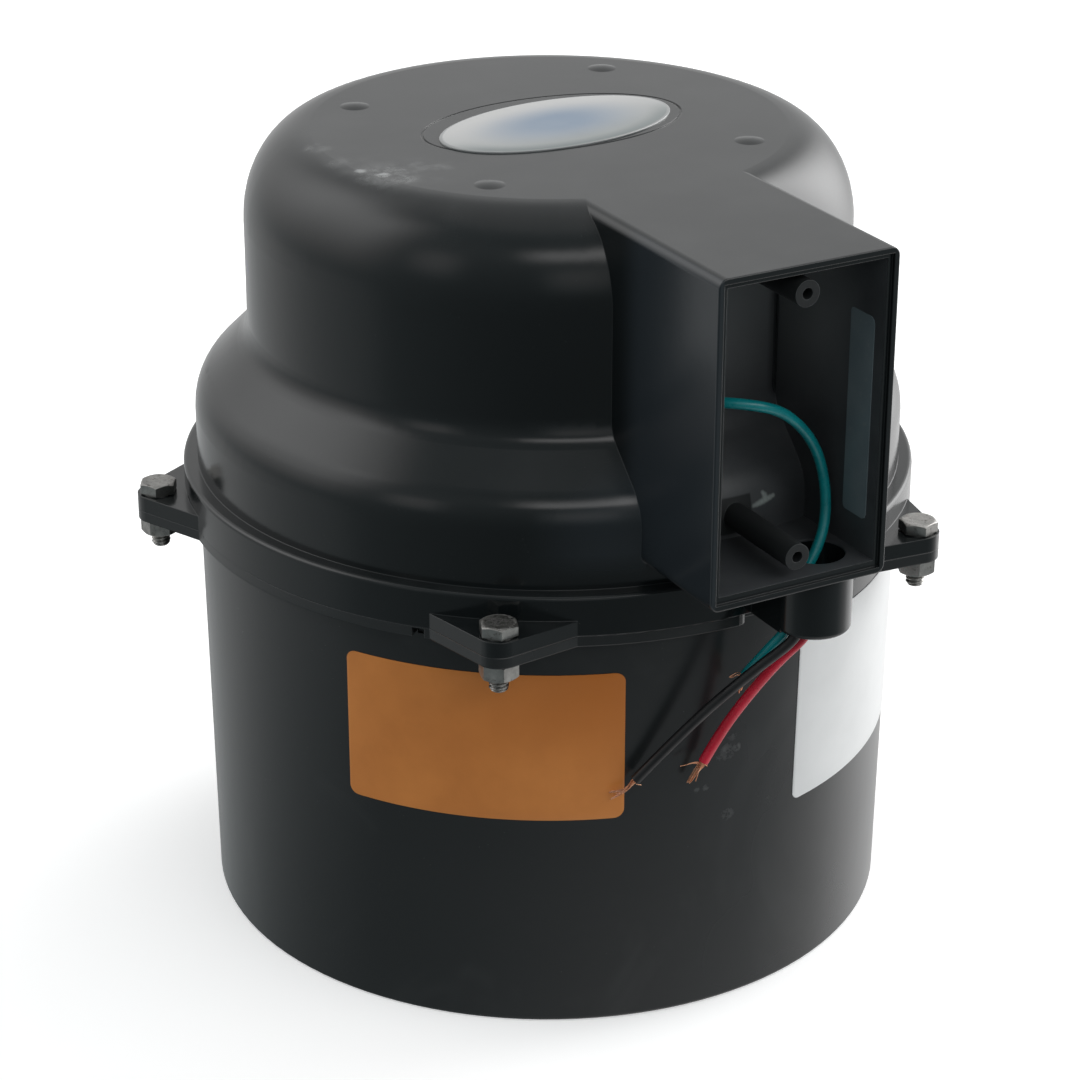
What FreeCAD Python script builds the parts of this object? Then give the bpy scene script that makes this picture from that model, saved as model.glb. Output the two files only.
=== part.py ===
import FreeCAD, Part
import os
import math

V = FreeCAD.Vector
os.makedirs("parts", exist_ok=True)

# Air blower: a round two-piece moulded housing with a wiring box on its side,
# and a two-stage fan motor hung inside it on rubber mounts.
# Frame: millimetres, +Z up, origin at the centre of the base, wiring box
# towards -Y.

# ------------------------------------------------------------------ sizes
HEIGHT = 268.0            # base to the flat top
PART_Z = 142.8            # plane where the two housings meet
WALL = 3.6                # moulded wall
R_DOME_LOW = 99.9         # dome wall at its foot
R_DOME_TOP = 99.8         # dome wall under the top round
TOP_IN = 22.0             # the round between dome wall and top is a quarter
TOP_DOWN = 29.5           # of an ellipse: its reach inwards and downwards
Z_DOME_TOP = HEIGHT - TOP_DOWN
R_SHOULDER = 118.1        # vertical wall of the shoulder
Z_SHOULDER = 174.3        # where that wall starts to turn in
R_SHOULDER_ROUND = 18.0
R_FOOT_ROUND = 12.0       # concave round at the foot of the dome
R_COLLAR = 122.8          # collar and lower rim
Z_COLLAR = 156.1          # top of the collar
R_CAN_BASE = 116.2        # lower housing wall at z = 0
CAN_DRAFT = 1.8 / 150.0   # it widens upwards
Z_RIM = 139.3             # underside of the lower rim and the bolt tabs

TABS = (36.5, 108.3, 180.1, 251.6, 324.4)   # degrees from -Y; spaced 72 within half a degree
R_TAB_BOLTS = 131.8
R_TAB_NOSE = 7.0
TAB_HALF = 11.0           # half angle of a tab where it leaves the collar
Z_TAB_TOP = 148.0

BOX_HALF = 31.0           # half width of the wiring box
BOX_FACE = -154.0         # its open face
BOX_BOTTOM = 163.5
BOX_WALL = 3.5
COVER_SPACING = 83.34     # between the two cover screws
COVER_MID = 216.5
BUTTON_H = 0.7            # low round buttons on the top, 9.8 mm across
R_BUTTON = (4.9 ** 2 + BUTTON_H ** 2) / (2 * BUTTON_H)
R_BOSS = 4.15
R_BOSS_HOLE = 1.8
HUB = (15.8, -139.0)      # axis of the lead spout under the box
R_HUB = 11.9
R_HUB_BORE = 9.2

R_OUTLET = 30.2           # slip socket for a 60.3 mm pipe
OUTLET_DEPTH = 32.0
Z_OUTLET = 0.0

D_LEAD = 3.4
BOLT_AF = 11.11
BOLT_HEAD = 4.0
BOLT_R = 3.1
BOLT_LENGTH = 19.05
NUT_H = 5.56

# route points of the leads
GREEN_ROUTE = [(-17.0, -103.0, 216.0), (-17.0, -118.0, 216.0), (-5.5, -130.8, 217.4),
               (9.0, -131.0, 212.0), (20.8, -130.5, 198.5), (24.4, -131.6, 181.5),
               (20.3, -136.0, 169.5), (9.3, -138.3, 156.0), (9.6, -136.3, 142.5),
               (3.9, -131.6, 133.0), (0.3, -126.0, 123.6)]
BLACK_ROUTE = [(13.2, -129.5, 150.0), (13.2, -139.0, 150.0), (9.6, -141.2, 141.0),
               (-1.0, -134.3, 129.9), (-18.2, -124.5, 110.7), (-33.3, -116.6, 90.6)]
RED_ROUTE = [(16.8, -129.5, 150.0), (16.8, -137.5, 150.0), (15.8, -138.8, 140.4),
             (6.2, -134.6, 130.4), (-2.2, -126.9, 113.4), (-7.4, -123.0, 102.0),
             (-11.2, -121.2, 93.6)]
BLACK_INNER = [(12.7, -114.0, 150.0), (12.7, -103.0, 150.0), (7.5, -93.0, 139.0),
               (-1.5, -89.0, 127.5), (-4.0, -82.5, 120.0), (-4.0, -73.0, 120.0)]
RED_INNER = [(16.6, -114.0, 150.0), (16.6, -103.0, 150.0), (14.0, -92.5, 139.0),
             (7.5, -88.5, 127.5), (4.0, -82.5, 120.0), (4.0, -73.0, 120.0)]
BLACK_BRUSH_LEAD = [(-4.0, -63.5, 120.0), (-4.0, -54.0, 120.0), (-13.0, -52.5, 108.0),
                    (-31.0, -47.5, 93.0), (-48.0, -33.0, 83.0), (-56.0, -15.0, 78.5),
                    (-48.0, 0.0, 77.0)]
RED_BRUSH_LEAD = [(4.0, -63.5, 120.0), (4.0, -54.0, 120.0), (13.0, -52.5, 108.0),
                  (31.0, -47.5, 93.0), (48.0, -33.0, 83.0), (56.0, -15.0, 78.5),
                  (48.0, 0.0, 77.0)]
GREEN_INNER = [(-17.0, -94.0, 216.0), (-17.0, -86.5, 216.0), (-17.0, -83.0, 204.0),
               (-17.0, -82.2, 192.5), (-17.0, -74.6, 184.2)]


# ---------------------------------------------------------------- helpers
def cyl(r, z0, z1, x=0.0, y=0.0):
    return Part.makeCylinder(r, z1 - z0, V(x, y, z0), V(0, 0, 1))


def ring(ro, ri, z0, z1, x=0.0, y=0.0):
    return cyl(ro, z0, z1, x, y).cut(cyl(ri, z0 - 1, z1 + 1, x, y))


def block(x0, x1, y0, y1, z0, z1):
    return Part.makeBox(x1 - x0, y1 - y0, z1 - z0, V(x0, y0, z0))


def rod(r, p, q):
    a, b = V(*p), V(*q)
    return Part.makeCylinder(r, (b - a).Length, a, b - a)


def cone(r0, r1, p, q):
    a, b = V(*p), V(*q)
    return Part.makeCone(r0, r1, (b - a).Length, a, b - a)


def revolved(items, angle=360.0):
    """items: (r, z) points in order; one with a third item is the middle point
    of an arc from the point before it to the point after it, and one with four
    items (r, z, reach in r, reach in z) is the centre of a quarter ellipse."""
    edges = []
    n = len(items)
    i = 0
    while i < n:
        a = items[i]
        b = items[(i + 1) % n]
        pa = V(a[0], 0, a[1])
        if len(b) == 4:
            oval = Part.Ellipse(V(b[0], 0, b[1] + b[3]), V(b[0] + b[2], 0, b[1]), V(b[0], 0, b[1]))
            edges.append(Part.ArcOfEllipse(oval, 0.0, math.pi / 2).toShape())
            i += 2
        elif len(b) == 3:
            c = items[(i + 2) % n]
            edges.append(Part.Arc(pa, V(b[0], 0, b[1]), V(c[0], 0, c[1])).toShape())
            i += 2
        else:
            pb = V(b[0], 0, b[1])
            if (pa - pb).Length > 1e-6:
                edges.append(Part.LineSegment(pa, pb).toShape())
            i += 1
    face = Part.Face(Part.Wire(edges))
    return face.revolve(V(0, 0, 0), V(0, 0, 1), angle)


def hexagon(af, z0, z1, x, y, turn=0.0):
    pts = []
    for k in range(7):
        t = math.radians(60 * k + 30 + turn)
        pts.append(V(x + af / math.sqrt(3) * math.cos(t), y + af / math.sqrt(3) * math.sin(t), z0))
    return Part.Face(Part.makePolygon(pts)).extrude(V(0, 0, z1 - z0))


def prism(pts, z0, z1):
    vs = [V(p[0], p[1], z0) for p in pts]
    vs.append(vs[0])
    return Part.Face(Part.makePolygon(vs)).extrude(V(0, 0, z1 - z0))


def turned(shape, deg):
    s = shape.copy()
    s.rotate(V(0, 0, 0), V(0, 0, 1), deg)
    return s


def fuse(shapes):
    out = shapes[0]
    if len(shapes) > 1:
        out = out.multiFuse(shapes[1:])
    return out.removeSplitter()


def cut_all(shape, tools):
    for t in tools:
        shape = shape.cut(t)
    return shape


def save(name, shape):
    solids = shape.Solids
    if len(solids) == 1:
        shape = solids[0]
    else:
        shape = Part.makeCompound(solids)
    assert solids, name
    print("%-24s solids %d  volume %.1f  valid %s" % (name, len(solids), shape.Volume, shape.isValid()))
    shape.exportStep("parts/%s.step" % name)


def tube(name, route, r):
    """Straight runs joined by tangent arcs."""
    pts = [V(*p) for p in route]
    edges = []
    here = pts[0]
    radii = []
    for i in range(1, len(pts) - 1):
        a, b, c = pts[i - 1], pts[i], pts[i + 1]
        u = (b - a)
        w = (c - b)
        run = min(u.Length, w.Length)
        u.normalize()
        w.normalize()
        turn = math.acos(max(-1, min(1, u.dot(w))))
        t = 0.45 * run
        rad = t / math.tan(turn / 2)
        radii.append(round(rad, 1))
        p = b - u * t
        q = b + w * t
        bis = (w - u)
        bis.normalize()
        centre = b + bis * math.sqrt(rad * rad + t * t)
        m = centre - bis * rad
        edges.append(Part.LineSegment(here, p).toShape())
        edges.append(Part.Arc(p, m, q).toShape())
        here = q
    edges.append(Part.LineSegment(here, pts[-1]).toShape())
    length = sum(e.Length for e in edges)
    path = Part.Wire(edges)
    d = pts[1] - pts[0]
    prof = Part.Wire([Part.makeCircle(r, pts[0], d)])
    s = path.makePipeShell([prof], True, False)
    runs = [round((pts[i + 1] - pts[i]).Length, 1) for i in range(len(pts) - 1)]
    ratio = s.Volume / (math.pi * r * r * length)
    print("   %s length %.1f runs %s radii %s volume ratio %.4f" % (name, length, runs, radii, ratio))
    return s


def polar(r, deg):
    """Point at an azimuth measured from -Y towards +X."""
    t = math.radians(deg)
    return (r * math.sin(t), -r * math.cos(t))


def can_radius(z):
    return R_CAN_BASE + CAN_DRAFT * z


tabs = list(TABS)


def tab_solid(deg, z0, z1):
    # triangle with a round nose, made pointing to -Y and then turned
    half = math.radians(TAB_HALF)
    px, py = R_COLLAR * math.sin(half), -R_COLLAR * math.cos(half) + 0.4
    cx, cy = 0.0, -R_TAB_BOLTS
    dx, dy = cx - px, cy - py
    dist = math.hypot(dx, dy)
    base = math.atan2(dy, dx)
    off = math.asin(R_TAB_NOSE / dist)
    ln = math.sqrt(dist * dist - R_TAB_NOSE ** 2)
    # outer tangent from the corner to the nose circle
    ang = base + off
    tx, ty = px + ln * math.cos(ang), py + ln * math.sin(ang)
    if ty > cy and tx < 0:
        ang = base - off
        tx, ty = px + ln * math.cos(ang), py + ln * math.sin(ang)
    pts = [(px, py), (tx, ty), (0, -R_TAB_BOLTS), (-tx, ty), (-px, py), (-px * 0.9, -112.0), (px * 0.9, -112.0)]
    body = prism(pts, z0, z1).fuse(cyl(R_TAB_NOSE, z0, z1, 0, -R_TAB_BOLTS))
    body = body.cut(cyl(115.5, z0 - 1, z1 + 1))
    return turned(body.removeSplitter(), deg)


# --------------------------------------------------------- upper housing
s45 = math.sqrt(0.5)
cx, cz = R_SHOULDER - R_SHOULDER_ROUND, Z_SHOULDER
cone_r, cone_z = cx + R_SHOULDER_ROUND * s45, cz + R_SHOULDER_ROUND * s45
mid = math.radians(22.5)
arc_mid = (cx + R_SHOULDER_ROUND * math.cos(mid), cz + R_SHOULDER_ROUND * math.sin(mid), "m")
z_meet = cone_r + cone_z - R_DOME_LOW
t_len = R_FOOT_ROUND * math.tan(mid)
foot_a = (R_DOME_LOW + t_len * s45, z_meet - t_len * s45)
foot_b = (R_DOME_LOW, z_meet + t_len)
foot_m = (R_DOME_LOW + R_FOOT_ROUND - R_FOOT_ROUND * math.cos(mid),
          foot_b[1] - R_FOOT_ROUND * math.sin(mid), "m")
top_c = R_DOME_TOP - TOP_IN
outer = revolved([
    (0, PART_Z), (R_COLLAR, PART_Z), (R_COLLAR, Z_COLLAR - 1.3),
    (R_COLLAR - 0.2, Z_COLLAR - 0.65), (R_COLLAR - 0.65, Z_COLLAR - 0.2), (R_COLLAR - 1.3, Z_COLLAR),
    (R_SHOULDER, Z_COLLAR + 0.1), (R_SHOULDER, Z_SHOULDER), arc_mid, (cone_r, cone_z),
    foot_a, foot_m, foot_b, (R_DOME_TOP, Z_DOME_TOP),
    (top_c, Z_DOME_TOP, TOP_IN, TOP_DOWN), (top_c, HEIGHT), (0, HEIGHT)])
ri = R_SHOULDER_ROUND - WALL
in_r, in_z = cx + ri * s45, cz + ri * s45
in_meet = in_r + in_z - (R_DOME_LOW - WALL)
inner = revolved([
    (0, PART_Z - 1), (R_SHOULDER - WALL, PART_Z - 1), (R_SHOULDER - WALL, Z_SHOULDER),
    (cx + ri * math.cos(mid), cz + ri * math.sin(mid), "m"), (in_r, in_z),
    (R_DOME_LOW - WALL, in_meet), (R_DOME_TOP - WALL, Z_DOME_TOP),
    (top_c, Z_DOME_TOP, TOP_IN - WALL, TOP_DOWN - WALL),
    (top_c, HEIGHT - WALL), (0, HEIGHT - WALL)])

box = block(-BOX_HALF, BOX_HALF, BOX_FACE, -60.0, BOX_BOTTOM, HEIGHT)


def edges_where(shape, test):
    out = []
    for e in shape.Edges:
        b = e.BoundBox
        if test(b):
            out.append(e)
    return out


long_top = edges_where(box, lambda b: b.YLength > 50 and b.ZMin > HEIGHT - 0.1)
box = box.makeFillet(3.0, long_top)
long_low = edges_where(box, lambda b: b.YLength > 50 and b.ZMax < BOX_BOTTOM + 0.1)
box = box.makeFillet(3.0, long_low)
face_rim = edges_where(box, lambda b: b.YLength < 0.01 and b.YMin < BOX_FACE + 0.01)
box = box.makeFillet(0.5, face_rim)

hub_body = cyl(R_HUB, PART_Z, BOX_BOTTOM + 1, *HUB)
low = edges_where(hub_body, lambda b: b.ZMax < PART_Z + 0.01)
hub_body = hub_body.makeFillet(1.6, low)
hub_web = block(HUB[0] - R_HUB, HUB[0] + R_HUB, HUB[1], -116.0, PART_Z, BOX_BOTTOM + 1)

upper = fuse([outer, box, hub_body, hub_web] + [tab_solid(a, PART_Z, Z_TAB_TOP) for a in tabs])
upper = upper.cut(inner)

cavity = block(-BOX_HALF + BOX_WALL, BOX_HALF - BOX_WALL, BOX_FACE - 1, -70.0,
               BOX_BOTTOM + 4.2, HEIGHT - BOX_WALL)
cavity = cavity.cut(outer)
upper = upper.cut(cavity)
upper = upper.cut(block(-BOX_HALF + 1.9, BOX_HALF - 1.9, BOX_FACE - 1, BOX_FACE + 1.2,
                        BOX_BOTTOM + 2.0, HEIGHT - 1.9))
bosses = []
for s in (-1, 1):
    zb = COVER_MID + s * COVER_SPACING / 2
    b = rod(R_BOSS, (0, BOX_FACE + 1.4, zb), (0, -92, zb)).cut(inner)
    bosses.append(b)
upper = upper.multiFuse(bosses)
for s in (-1, 1):
    zb = COVER_MID + s * COVER_SPACING / 2
    upper = upper.cut(rod(R_BOSS_HOLE, (0, BOX_FACE, zb), (0, BOX_FACE + 26, zb)))
upper = upper.cut(cyl(R_HUB_BORE, PART_Z - 1, BOX_BOTTOM + BOX_WALL + 1, *HUB))
# passage from the inside of the housing to the spout, for the motor leads
upper = upper.cut(block(10.9, 18.8, HUB[1] + 2, -110.0, 147.6, 152.4))
# hole for the ground lead in the wall behind the box
upper = upper.cut(rod(3.6, (-17, -106, 216), (-17, -90, 216)))
# seal groove, tab holes, four low buttons and the oval seat of the badge
upper = upper.cut(ring(119.6, 116.6, PART_Z - 1, PART_Z + 2.2))
for a in tabs:
    x, y = polar(R_TAB_BOLTS, a)
    upper = upper.cut(cyl(3.4, Z_RIM - 1, Z_TAB_TOP + 1, x, y))
for sx in (-1, 1):
    for sy in (-1, 1):
        button = Part.makeSphere(R_BUTTON, V(47 * sx, 47 * sy, HEIGHT + BUTTON_H - R_BUTTON))
        upper = upper.fuse(button.common(cyl(8.0, HEIGHT - 1.0, HEIGHT + 2.0, 47 * sx, 47 * sy)))


def ellipse_prism(a, b, z0, z1, x=0.0, y=0.0):
    e = Part.Ellipse(V(x, y, z0), a, b).toShape()
    return Part.Face(Part.Wire([e])).extrude(V(0, 0, z1 - z0))


upper = upper.cut(ellipse_prism(46.0, 27.8, HEIGHT - 0.4, HEIGHT + 1, 1.5, 0.0)
                  .cut(ellipse_prism(45.2, 27.0, HEIGHT - 1, HEIGHT + 2, 1.5, 0.0)))
# stiffening ribs under the top
ribs = []
for k in range(4):
    r0 = block(60.0, 84.0, -1.6, 1.6, 224.0, HEIGHT - WALL + 0.5)
    ribs.append(turned(r0, 45 + 90 * k).common(outer))
upper = upper.multiFuse(ribs).removeSplitter()
save("upper_housing", upper)

# --------------------------------------------------------- lower housing
rb = 1.2
lower = revolved([
    (34.8, 5.0), (110.2, 5.0), (110.2, 0.0), (can_radius(0) - rb, 0.0),
    (can_radius(0) - rb + rb * s45, rb - rb * s45, "m"), (can_radius(rb), rb),
    (can_radius(Z_RIM), Z_RIM), (R_COLLAR, Z_RIM), (R_COLLAR, PART_Z), (114.4, PART_Z),
    (can_radius(9) - WALL, 9.0), (34.8, 9.0)])
lower = fuse([lower] + [tab_solid(a, Z_RIM, PART_Z) for a in tabs])
for a in tabs:
    x, y = polar(R_TAB_BOLTS, a)
    lower = lower.cut(cyl(3.4, Z_RIM - 1, PART_Z + 1, x, y))
# the rim stops beside the lead spout, and has a small locating notch
lower = lower.cut(block(3.2, 28.4, -150, -118.4, Z_RIM - 1, PART_Z + 1))
lower = lower.cut(block(-0.2, 4.0, -150, -119.3, Z_RIM - 1, PART_Z + 1)
                  .cut(cyl(3.4, Z_RIM - 2, PART_Z + 2, -0.2, -119.3)))
lower = lower.cut(turned(block(-2.0, 2.0, -130, -116.8, Z_RIM - 1, PART_Z - 0.4), -48.1))
# annular air inlet in the floor, with eight ribs left
inlet = ring(104.0, 80.0, 4.0, 10.0)
for k in range(8):
    inlet = inlet.cut(turned(block(78, 106, -2.5, 2.5, 3, 11), 22.5 + 45 * k))
lower = lower.cut(inlet)
GRILLE_SCREWS = [polar(106.8, 22.5 + 60 * k) for k in range(6)]
DUCT_SCREWS = [polar(41.0, 45 + 90 * k) for k in range(4)]
for x, y in GRILLE_SCREWS + DUCT_SCREWS:
    lower = lower.cut(cyl(1.7, 4, 10, x, y))
save("lower_housing", lower.removeSplitter())

save("housing_gasket", ring(119.5, 116.7, PART_Z, PART_Z + 2.2))

# ------------------------------------------------- bolts and nuts of the tabs
bolts, nuts = [], []
for k, a in enumerate(tabs):
    x, y = polar(R_TAB_BOLTS, a)
    twist = (-12.0, -20.0, 7.0, 29.0, -20.4)[k]
    head = hexagon(BOLT_AF, Z_TAB_TOP, Z_TAB_TOP + BOLT_HEAD, x, y, twist)
    head = head.common(cone(9.0, 5.2, (x, y, Z_TAB_TOP + 0.2), (x, y, Z_TAB_TOP + BOLT_HEAD))
                       .fuse(cyl(9.0, Z_TAB_TOP, Z_TAB_TOP + 0.21, x, y)))
    shank = cyl(BOLT_R, Z_TAB_TOP + BOLT_HEAD - BOLT_HEAD - BOLT_LENGTH + 0.8, Z_TAB_TOP + 0.5, x, y)
    tip = cone(BOLT_R - 0.7, BOLT_R, (x, y, Z_TAB_TOP - BOLT_LENGTH), (x, y, Z_TAB_TOP - BOLT_LENGTH + 0.8))
    bolts.append(fuse([head, shank, tip]))
    nut = hexagon(BOLT_AF, Z_RIM - NUT_H, Z_RIM, x, y, (-25.0, -31.0, 23.0, 5.5, -14.3)[k])
    nut = nut.common(cone(5.3, 9.5, (x, y, Z_RIM - NUT_H), (x, y, Z_RIM - NUT_H + 2.4))
                     .fuse(cyl(9.5, Z_RIM - NUT_H + 2.3, Z_RIM, x, y)))
    nuts.append(nut.cut(cyl(BOLT_R, Z_RIM - NUT_H - 1, Z_RIM + 1, x, y)))
save("flange_bolts", Part.makeCompound(bolts))
save("flange_nuts", Part.makeCompound(nuts))

# ------------------------------------------------------------------ labels
badge = fuse([ellipse_prism(42.8, 23.8, HEIGHT, HEIGHT + 0.5),
              ellipse_prism(40.3, 21.3, HEIGHT + 0.5, HEIGHT + 0.8)])
badge.rotate(V(0, 0, 0), V(0, 0, 1), 6.6)
badge.translate(V(1.4, -2.4, 0))
save("top_badge", badge)


def wall_label(mid_deg, half_deg, z0, z1, corner, t=0.25):
    skin = revolved([(can_radius(z0 - 2), z0 - 2), (can_radius(z0 - 2) + t, z0 - 2),
                     (can_radius(z1 + 2) + t, z1 + 2), (can_radius(z1 + 2), z1 + 2)])
    w = 117.0 * math.sin(math.radians(half_deg))
    b = block(-w, w, -130, -20, z0, z1)
    b = b.makeFillet(corner, edges_where(b, lambda q: q.YLength > 50))
    return turned(b, mid_deg).common(skin)


save("front_label", wall_label(-39.4, 22.3, 75.4, 127.0, 5.0))
save("side_label", wall_label(40.8, 26.9, 65.4, 128.0, 3.5))
xl = BOX_HALF - BOX_WALL
strip = Part.Face(Part.makePolygon([V(xl - 0.25, y, z) for y, z in (
    (-147.9, 242.4), (-147.3, 243.7), (-146.2, 244.3), (-137.0, 244.2), (-136.1, 243.9), (-135.8, 243.0),
    (-135.8, 180.6), (-136.1, 179.5), (-137.0, 179.0), (-146.2, 179.0), (-147.4, 179.6), (-147.9, 180.9),
    (-147.9, 242.4))])).extrude(V(0.25, 0, 0))
save("box_label", strip)

# --------------------------------------------------------- leads and bushes
bush = block(10.9, 18.8, -129.5, -114.0, 147.6, 152.4)
save("lead_grommet", bush)
wall_bush = rod(3.6, (-17, -103, 216), (-17, -94, 216))
wall_bush = wall_bush.fuse(rod(5.2, (-17, -103, 216), (-17, -100.6, 216)))
save("wall_grommet", wall_bush.removeSplitter())
r_l = D_LEAD / 2
save("green_lead", tube("green_lead", GREEN_ROUTE, r_l))
save("black_lead", tube("black_lead", BLACK_ROUTE, r_l))
save("red_lead", tube("red_lead", RED_ROUTE, r_l))


def strands(route, length, r):
    a, b = V(*route[-2]), V(*route[-1])
    d = b - a
    d.normalize()
    e = b + d * length
    return rod(r, (b.x, b.y, b.z), (e.x, e.y, e.z))


save("green_strands", strands(GREEN_ROUTE, 7.5, 1.1))
save("black_strands", strands(BLACK_ROUTE, 8.5, 1.1))
save("red_strands", strands(RED_ROUTE, 8.0, 1.1))
r_i = 1.5
save("black_inner_lead", tube("black_inner_lead", BLACK_INNER, r_i))
save("red_inner_lead", tube("red_inner_lead", RED_INNER, r_i))
save("green_inner_lead", tube("green_inner_lead", GREEN_INNER, r_i))
save("black_brush_lead", tube("black_brush_lead", BLACK_BRUSH_LEAD, r_i))
save("red_brush_lead", tube("red_brush_lead", RED_BRUSH_LEAD, r_i))
duct_bush = block(-7.5, 7.5, -73.0, -63.5, 116.5, 123.5)
save("duct_grommet", duct_bush)

# ------------------------------------------------ inlet grille, outlet duct
grille = ring(109.8, 74.0, 2.6, 5.0)
for x, y in GRILLE_SCREWS:
    grille = grille.cut(cyl(1.7, 2, 6, x, y))
slot_rings = [(102.4, 99.0), (96.8, 93.4), (91.2, 87.8), (85.6, 82.2)]
for ro, rn in slot_rings:
    s = ring(ro, rn, 2.0, 6.0)
    for k in range(12):
        s = s.cut(turned(block(70, 112, -1.8, 1.8, 1, 7), 22.5 + 30 * k))
    grille = grille.cut(s)
save("intake_grille", grille)
gs = []
for x, y in GRILLE_SCREWS:
    h = fuse([cyl(3.2, 0.9, 2.6, x, y), cyl(1.65, 2.5, 9.0, x, y)])
    gs.append(h.cut(block(x - 4, x + 4, y - 0.4, y + 0.4, 0, 1.5)).cut(block(x - 0.4, x + 0.4, y - 4, y + 4, 0, 1.5)))
save("grille_screws", Part.makeCompound(gs))

duct = revolved([
    (R_OUTLET, Z_OUTLET), (34.4, Z_OUTLET), (34.4, 9.2), (46.5, 9.2), (46.5, 13.0), (34.4, 13.0), (34.4, 38.0),
    (69.0, 44.0), (69.0, 146.0), (84.0, 146.0), (84.0, 150.0), (66.0, 150.0), (66.0, 47.5), (27.0, 41.0),
    (27.0, Z_OUTLET + OUTLET_DEPTH), (R_OUTLET, Z_OUTLET + OUTLET_DEPTH)])
for x, y in DUCT_SCREWS:
    duct = duct.cut(cyl(1.7, 8, 14, x, y))
duct = duct.cut(block(-7.5, 7.5, -75, -60, 116.5, 123.5))
STUDS = [polar(79.0, 45 + 90 * k) for k in range(4)]
for x, y in STUDS:
    duct = duct.cut(cyl(2.0, 145, 151, x, y))
save("outlet_duct", duct)
ds = []
for x, y in DUCT_SCREWS:
    h = fuse([cyl(3.2, 3.2, 5.0, x, y), cyl(1.65, 4.9, 13.0, x, y)])
    ds.append(h.cut(block(x - 4, x + 4, y - 0.4, y + 0.4, 2, 3.9)).cut(block(x - 0.4, x + 0.4, y - 4, y + 4, 2, 3.9)))
save("duct_screws", Part.makeCompound(ds))
duct_seal = ring(46.5, 35.0, 9.0, 9.2)
for x, y in DUCT_SCREWS:
    duct_seal = duct_seal.cut(cyl(1.7, 8, 10, x, y))
save("duct_seal", duct_seal)
save("intake_foam", ring(112.6, 69.4, 9.0, 58.0))
foam = ring(74.0, 30.0, 244.4, 264.4)
for k in range(4):
    foam = foam.cut(turned(block(58.0, 92.0, -2.4, 2.4, 220, 270), 45 + 90 * k))
save("dome_foam", foam)

# ------------------------------------------------------- rubber motor mounts
save("lower_motor_mount", fuse([ring(75.0, 66.0, 150.0, 154.0), ring(76.5, 72.5, 150.0, 162.0)]))
save("upper_motor_mount", fuse([ring(76.5, 72.5, 196.0, 208.0), ring(76.5, 58.0, 207.0, 212.0)]))
clamp = ring(84.0, 60.0, 212.0, 215.0)
clamp = clamp.cut(block(-21.5, -12.5, -90.0, -76.0, 211, 216))
for x, y in STUDS:
    clamp = clamp.cut(cyl(2.0, 211, 216, x, y))
save("clamp_ring", clamp)
save("clamp_studs", Part.makeCompound([cyl(1.95, 142.0, 222.0, x, y) for x, y in STUDS]))
cn = []
for x, y in STUDS:
    cn.append(hexagon(7.0, 215.0, 218.2, x, y).cut(cyl(1.95, 214, 219, x, y)))
    cn.append(hexagon(7.0, 142.8, 146.0, x, y).cut(cyl(1.95, 142, 147, x, y)))
save("clamp_nuts", Part.makeCompound(cn))

# ------------------------------------------------------------ fan and motor
shell = ring(72.5, 71.3, 157.0, 207.0).fuse(ring(72.5, 24.0, 205.8, 207.0))
lip = revolved([(24.0, 205.8), (25.2, 205.8), (25.2, 203.4), (24.0, 203.4)])
shell = shell.fuse(lip).removeSplitter()
shell = shell.cut(rod(1.45, (-17, -78, 184.2), (-17, -60, 184.2)))
save("fan_shell", shell)
gscrew = rod(3.0, (-17, -74.6, 184.2), (-17, -70.5, 184.2)).cut(cyl(72.5, 180, 189))
gscrew = gscrew.fuse(rod(1.45, (-17, -74.0, 184.2), (-17, -68.5, 184.2)))
save("ground_screw", gscrew.removeSplitter())

diff = ring(71.3, 15.0, 181.0, 182.6)
vanes = []
for k in range(9):
    v = ring(40.0, 38.6, 175.6, 181.2, 34.0, 0.0).common(cyl(69.0, 175, 182).cut(cyl(22.0, 174, 183)))
    v = v.common(block(-10, 80, 0.0, 80, 170, 185))
    vanes.append(turned(v, 40 * k))
diff = fuse([diff] + vanes)
save("fan_diffuser", diff)

fan_br = ring(72.5, 5.4, 154.0, 157.0)
holes = []
for k in range(8):
    holes.append(turned(cyl(8.0, 150, 160, 56.0, 0.0), 22.5 + 45 * k))
fan_br = cut_all(fan_br, holes)
skirt = ring(46.0, 40.0, 134.0, 154.5)
for k in range(4):
    skirt = skirt.cut(turned(block(30, 50, -14, 14, 138.0, 150.0), 90 * k))
fan_br = fuse([fan_br, skirt, ring(14.5, 11.0, 143.0, 154.5), ring(14.5, 5.4, 152.0, 154.5)])
MOTOR_BOLTS = [(42.8 * s45, 42.8 * s45), (-42.8 * s45, -42.8 * s45)]
for x, y in MOTOR_BOLTS:
    fan_br = fan_br.cut(cyl(2.0, 130, 158, x, y))
save("fan_end_bracket", fan_br)

core = ring(46.0, 36.0, 90.0, 134.0)
poles = ring(37.0, 25.6, 90.0, 134.0)
wedge = prism([(0, 0), (60, 60 * math.tan(math.radians(42))), (60, 80), (-60, 80), (-60, 60 * math.tan(math.radians(42)))], 80, 140)
core = fuse([core, poles.common(wedge), poles.common(turned(wedge, 180))])
for x, y in MOTOR_BOLTS:
    core = core.cut(cyl(2.0, 88, 136, x, y))
save("field_core", core)

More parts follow.
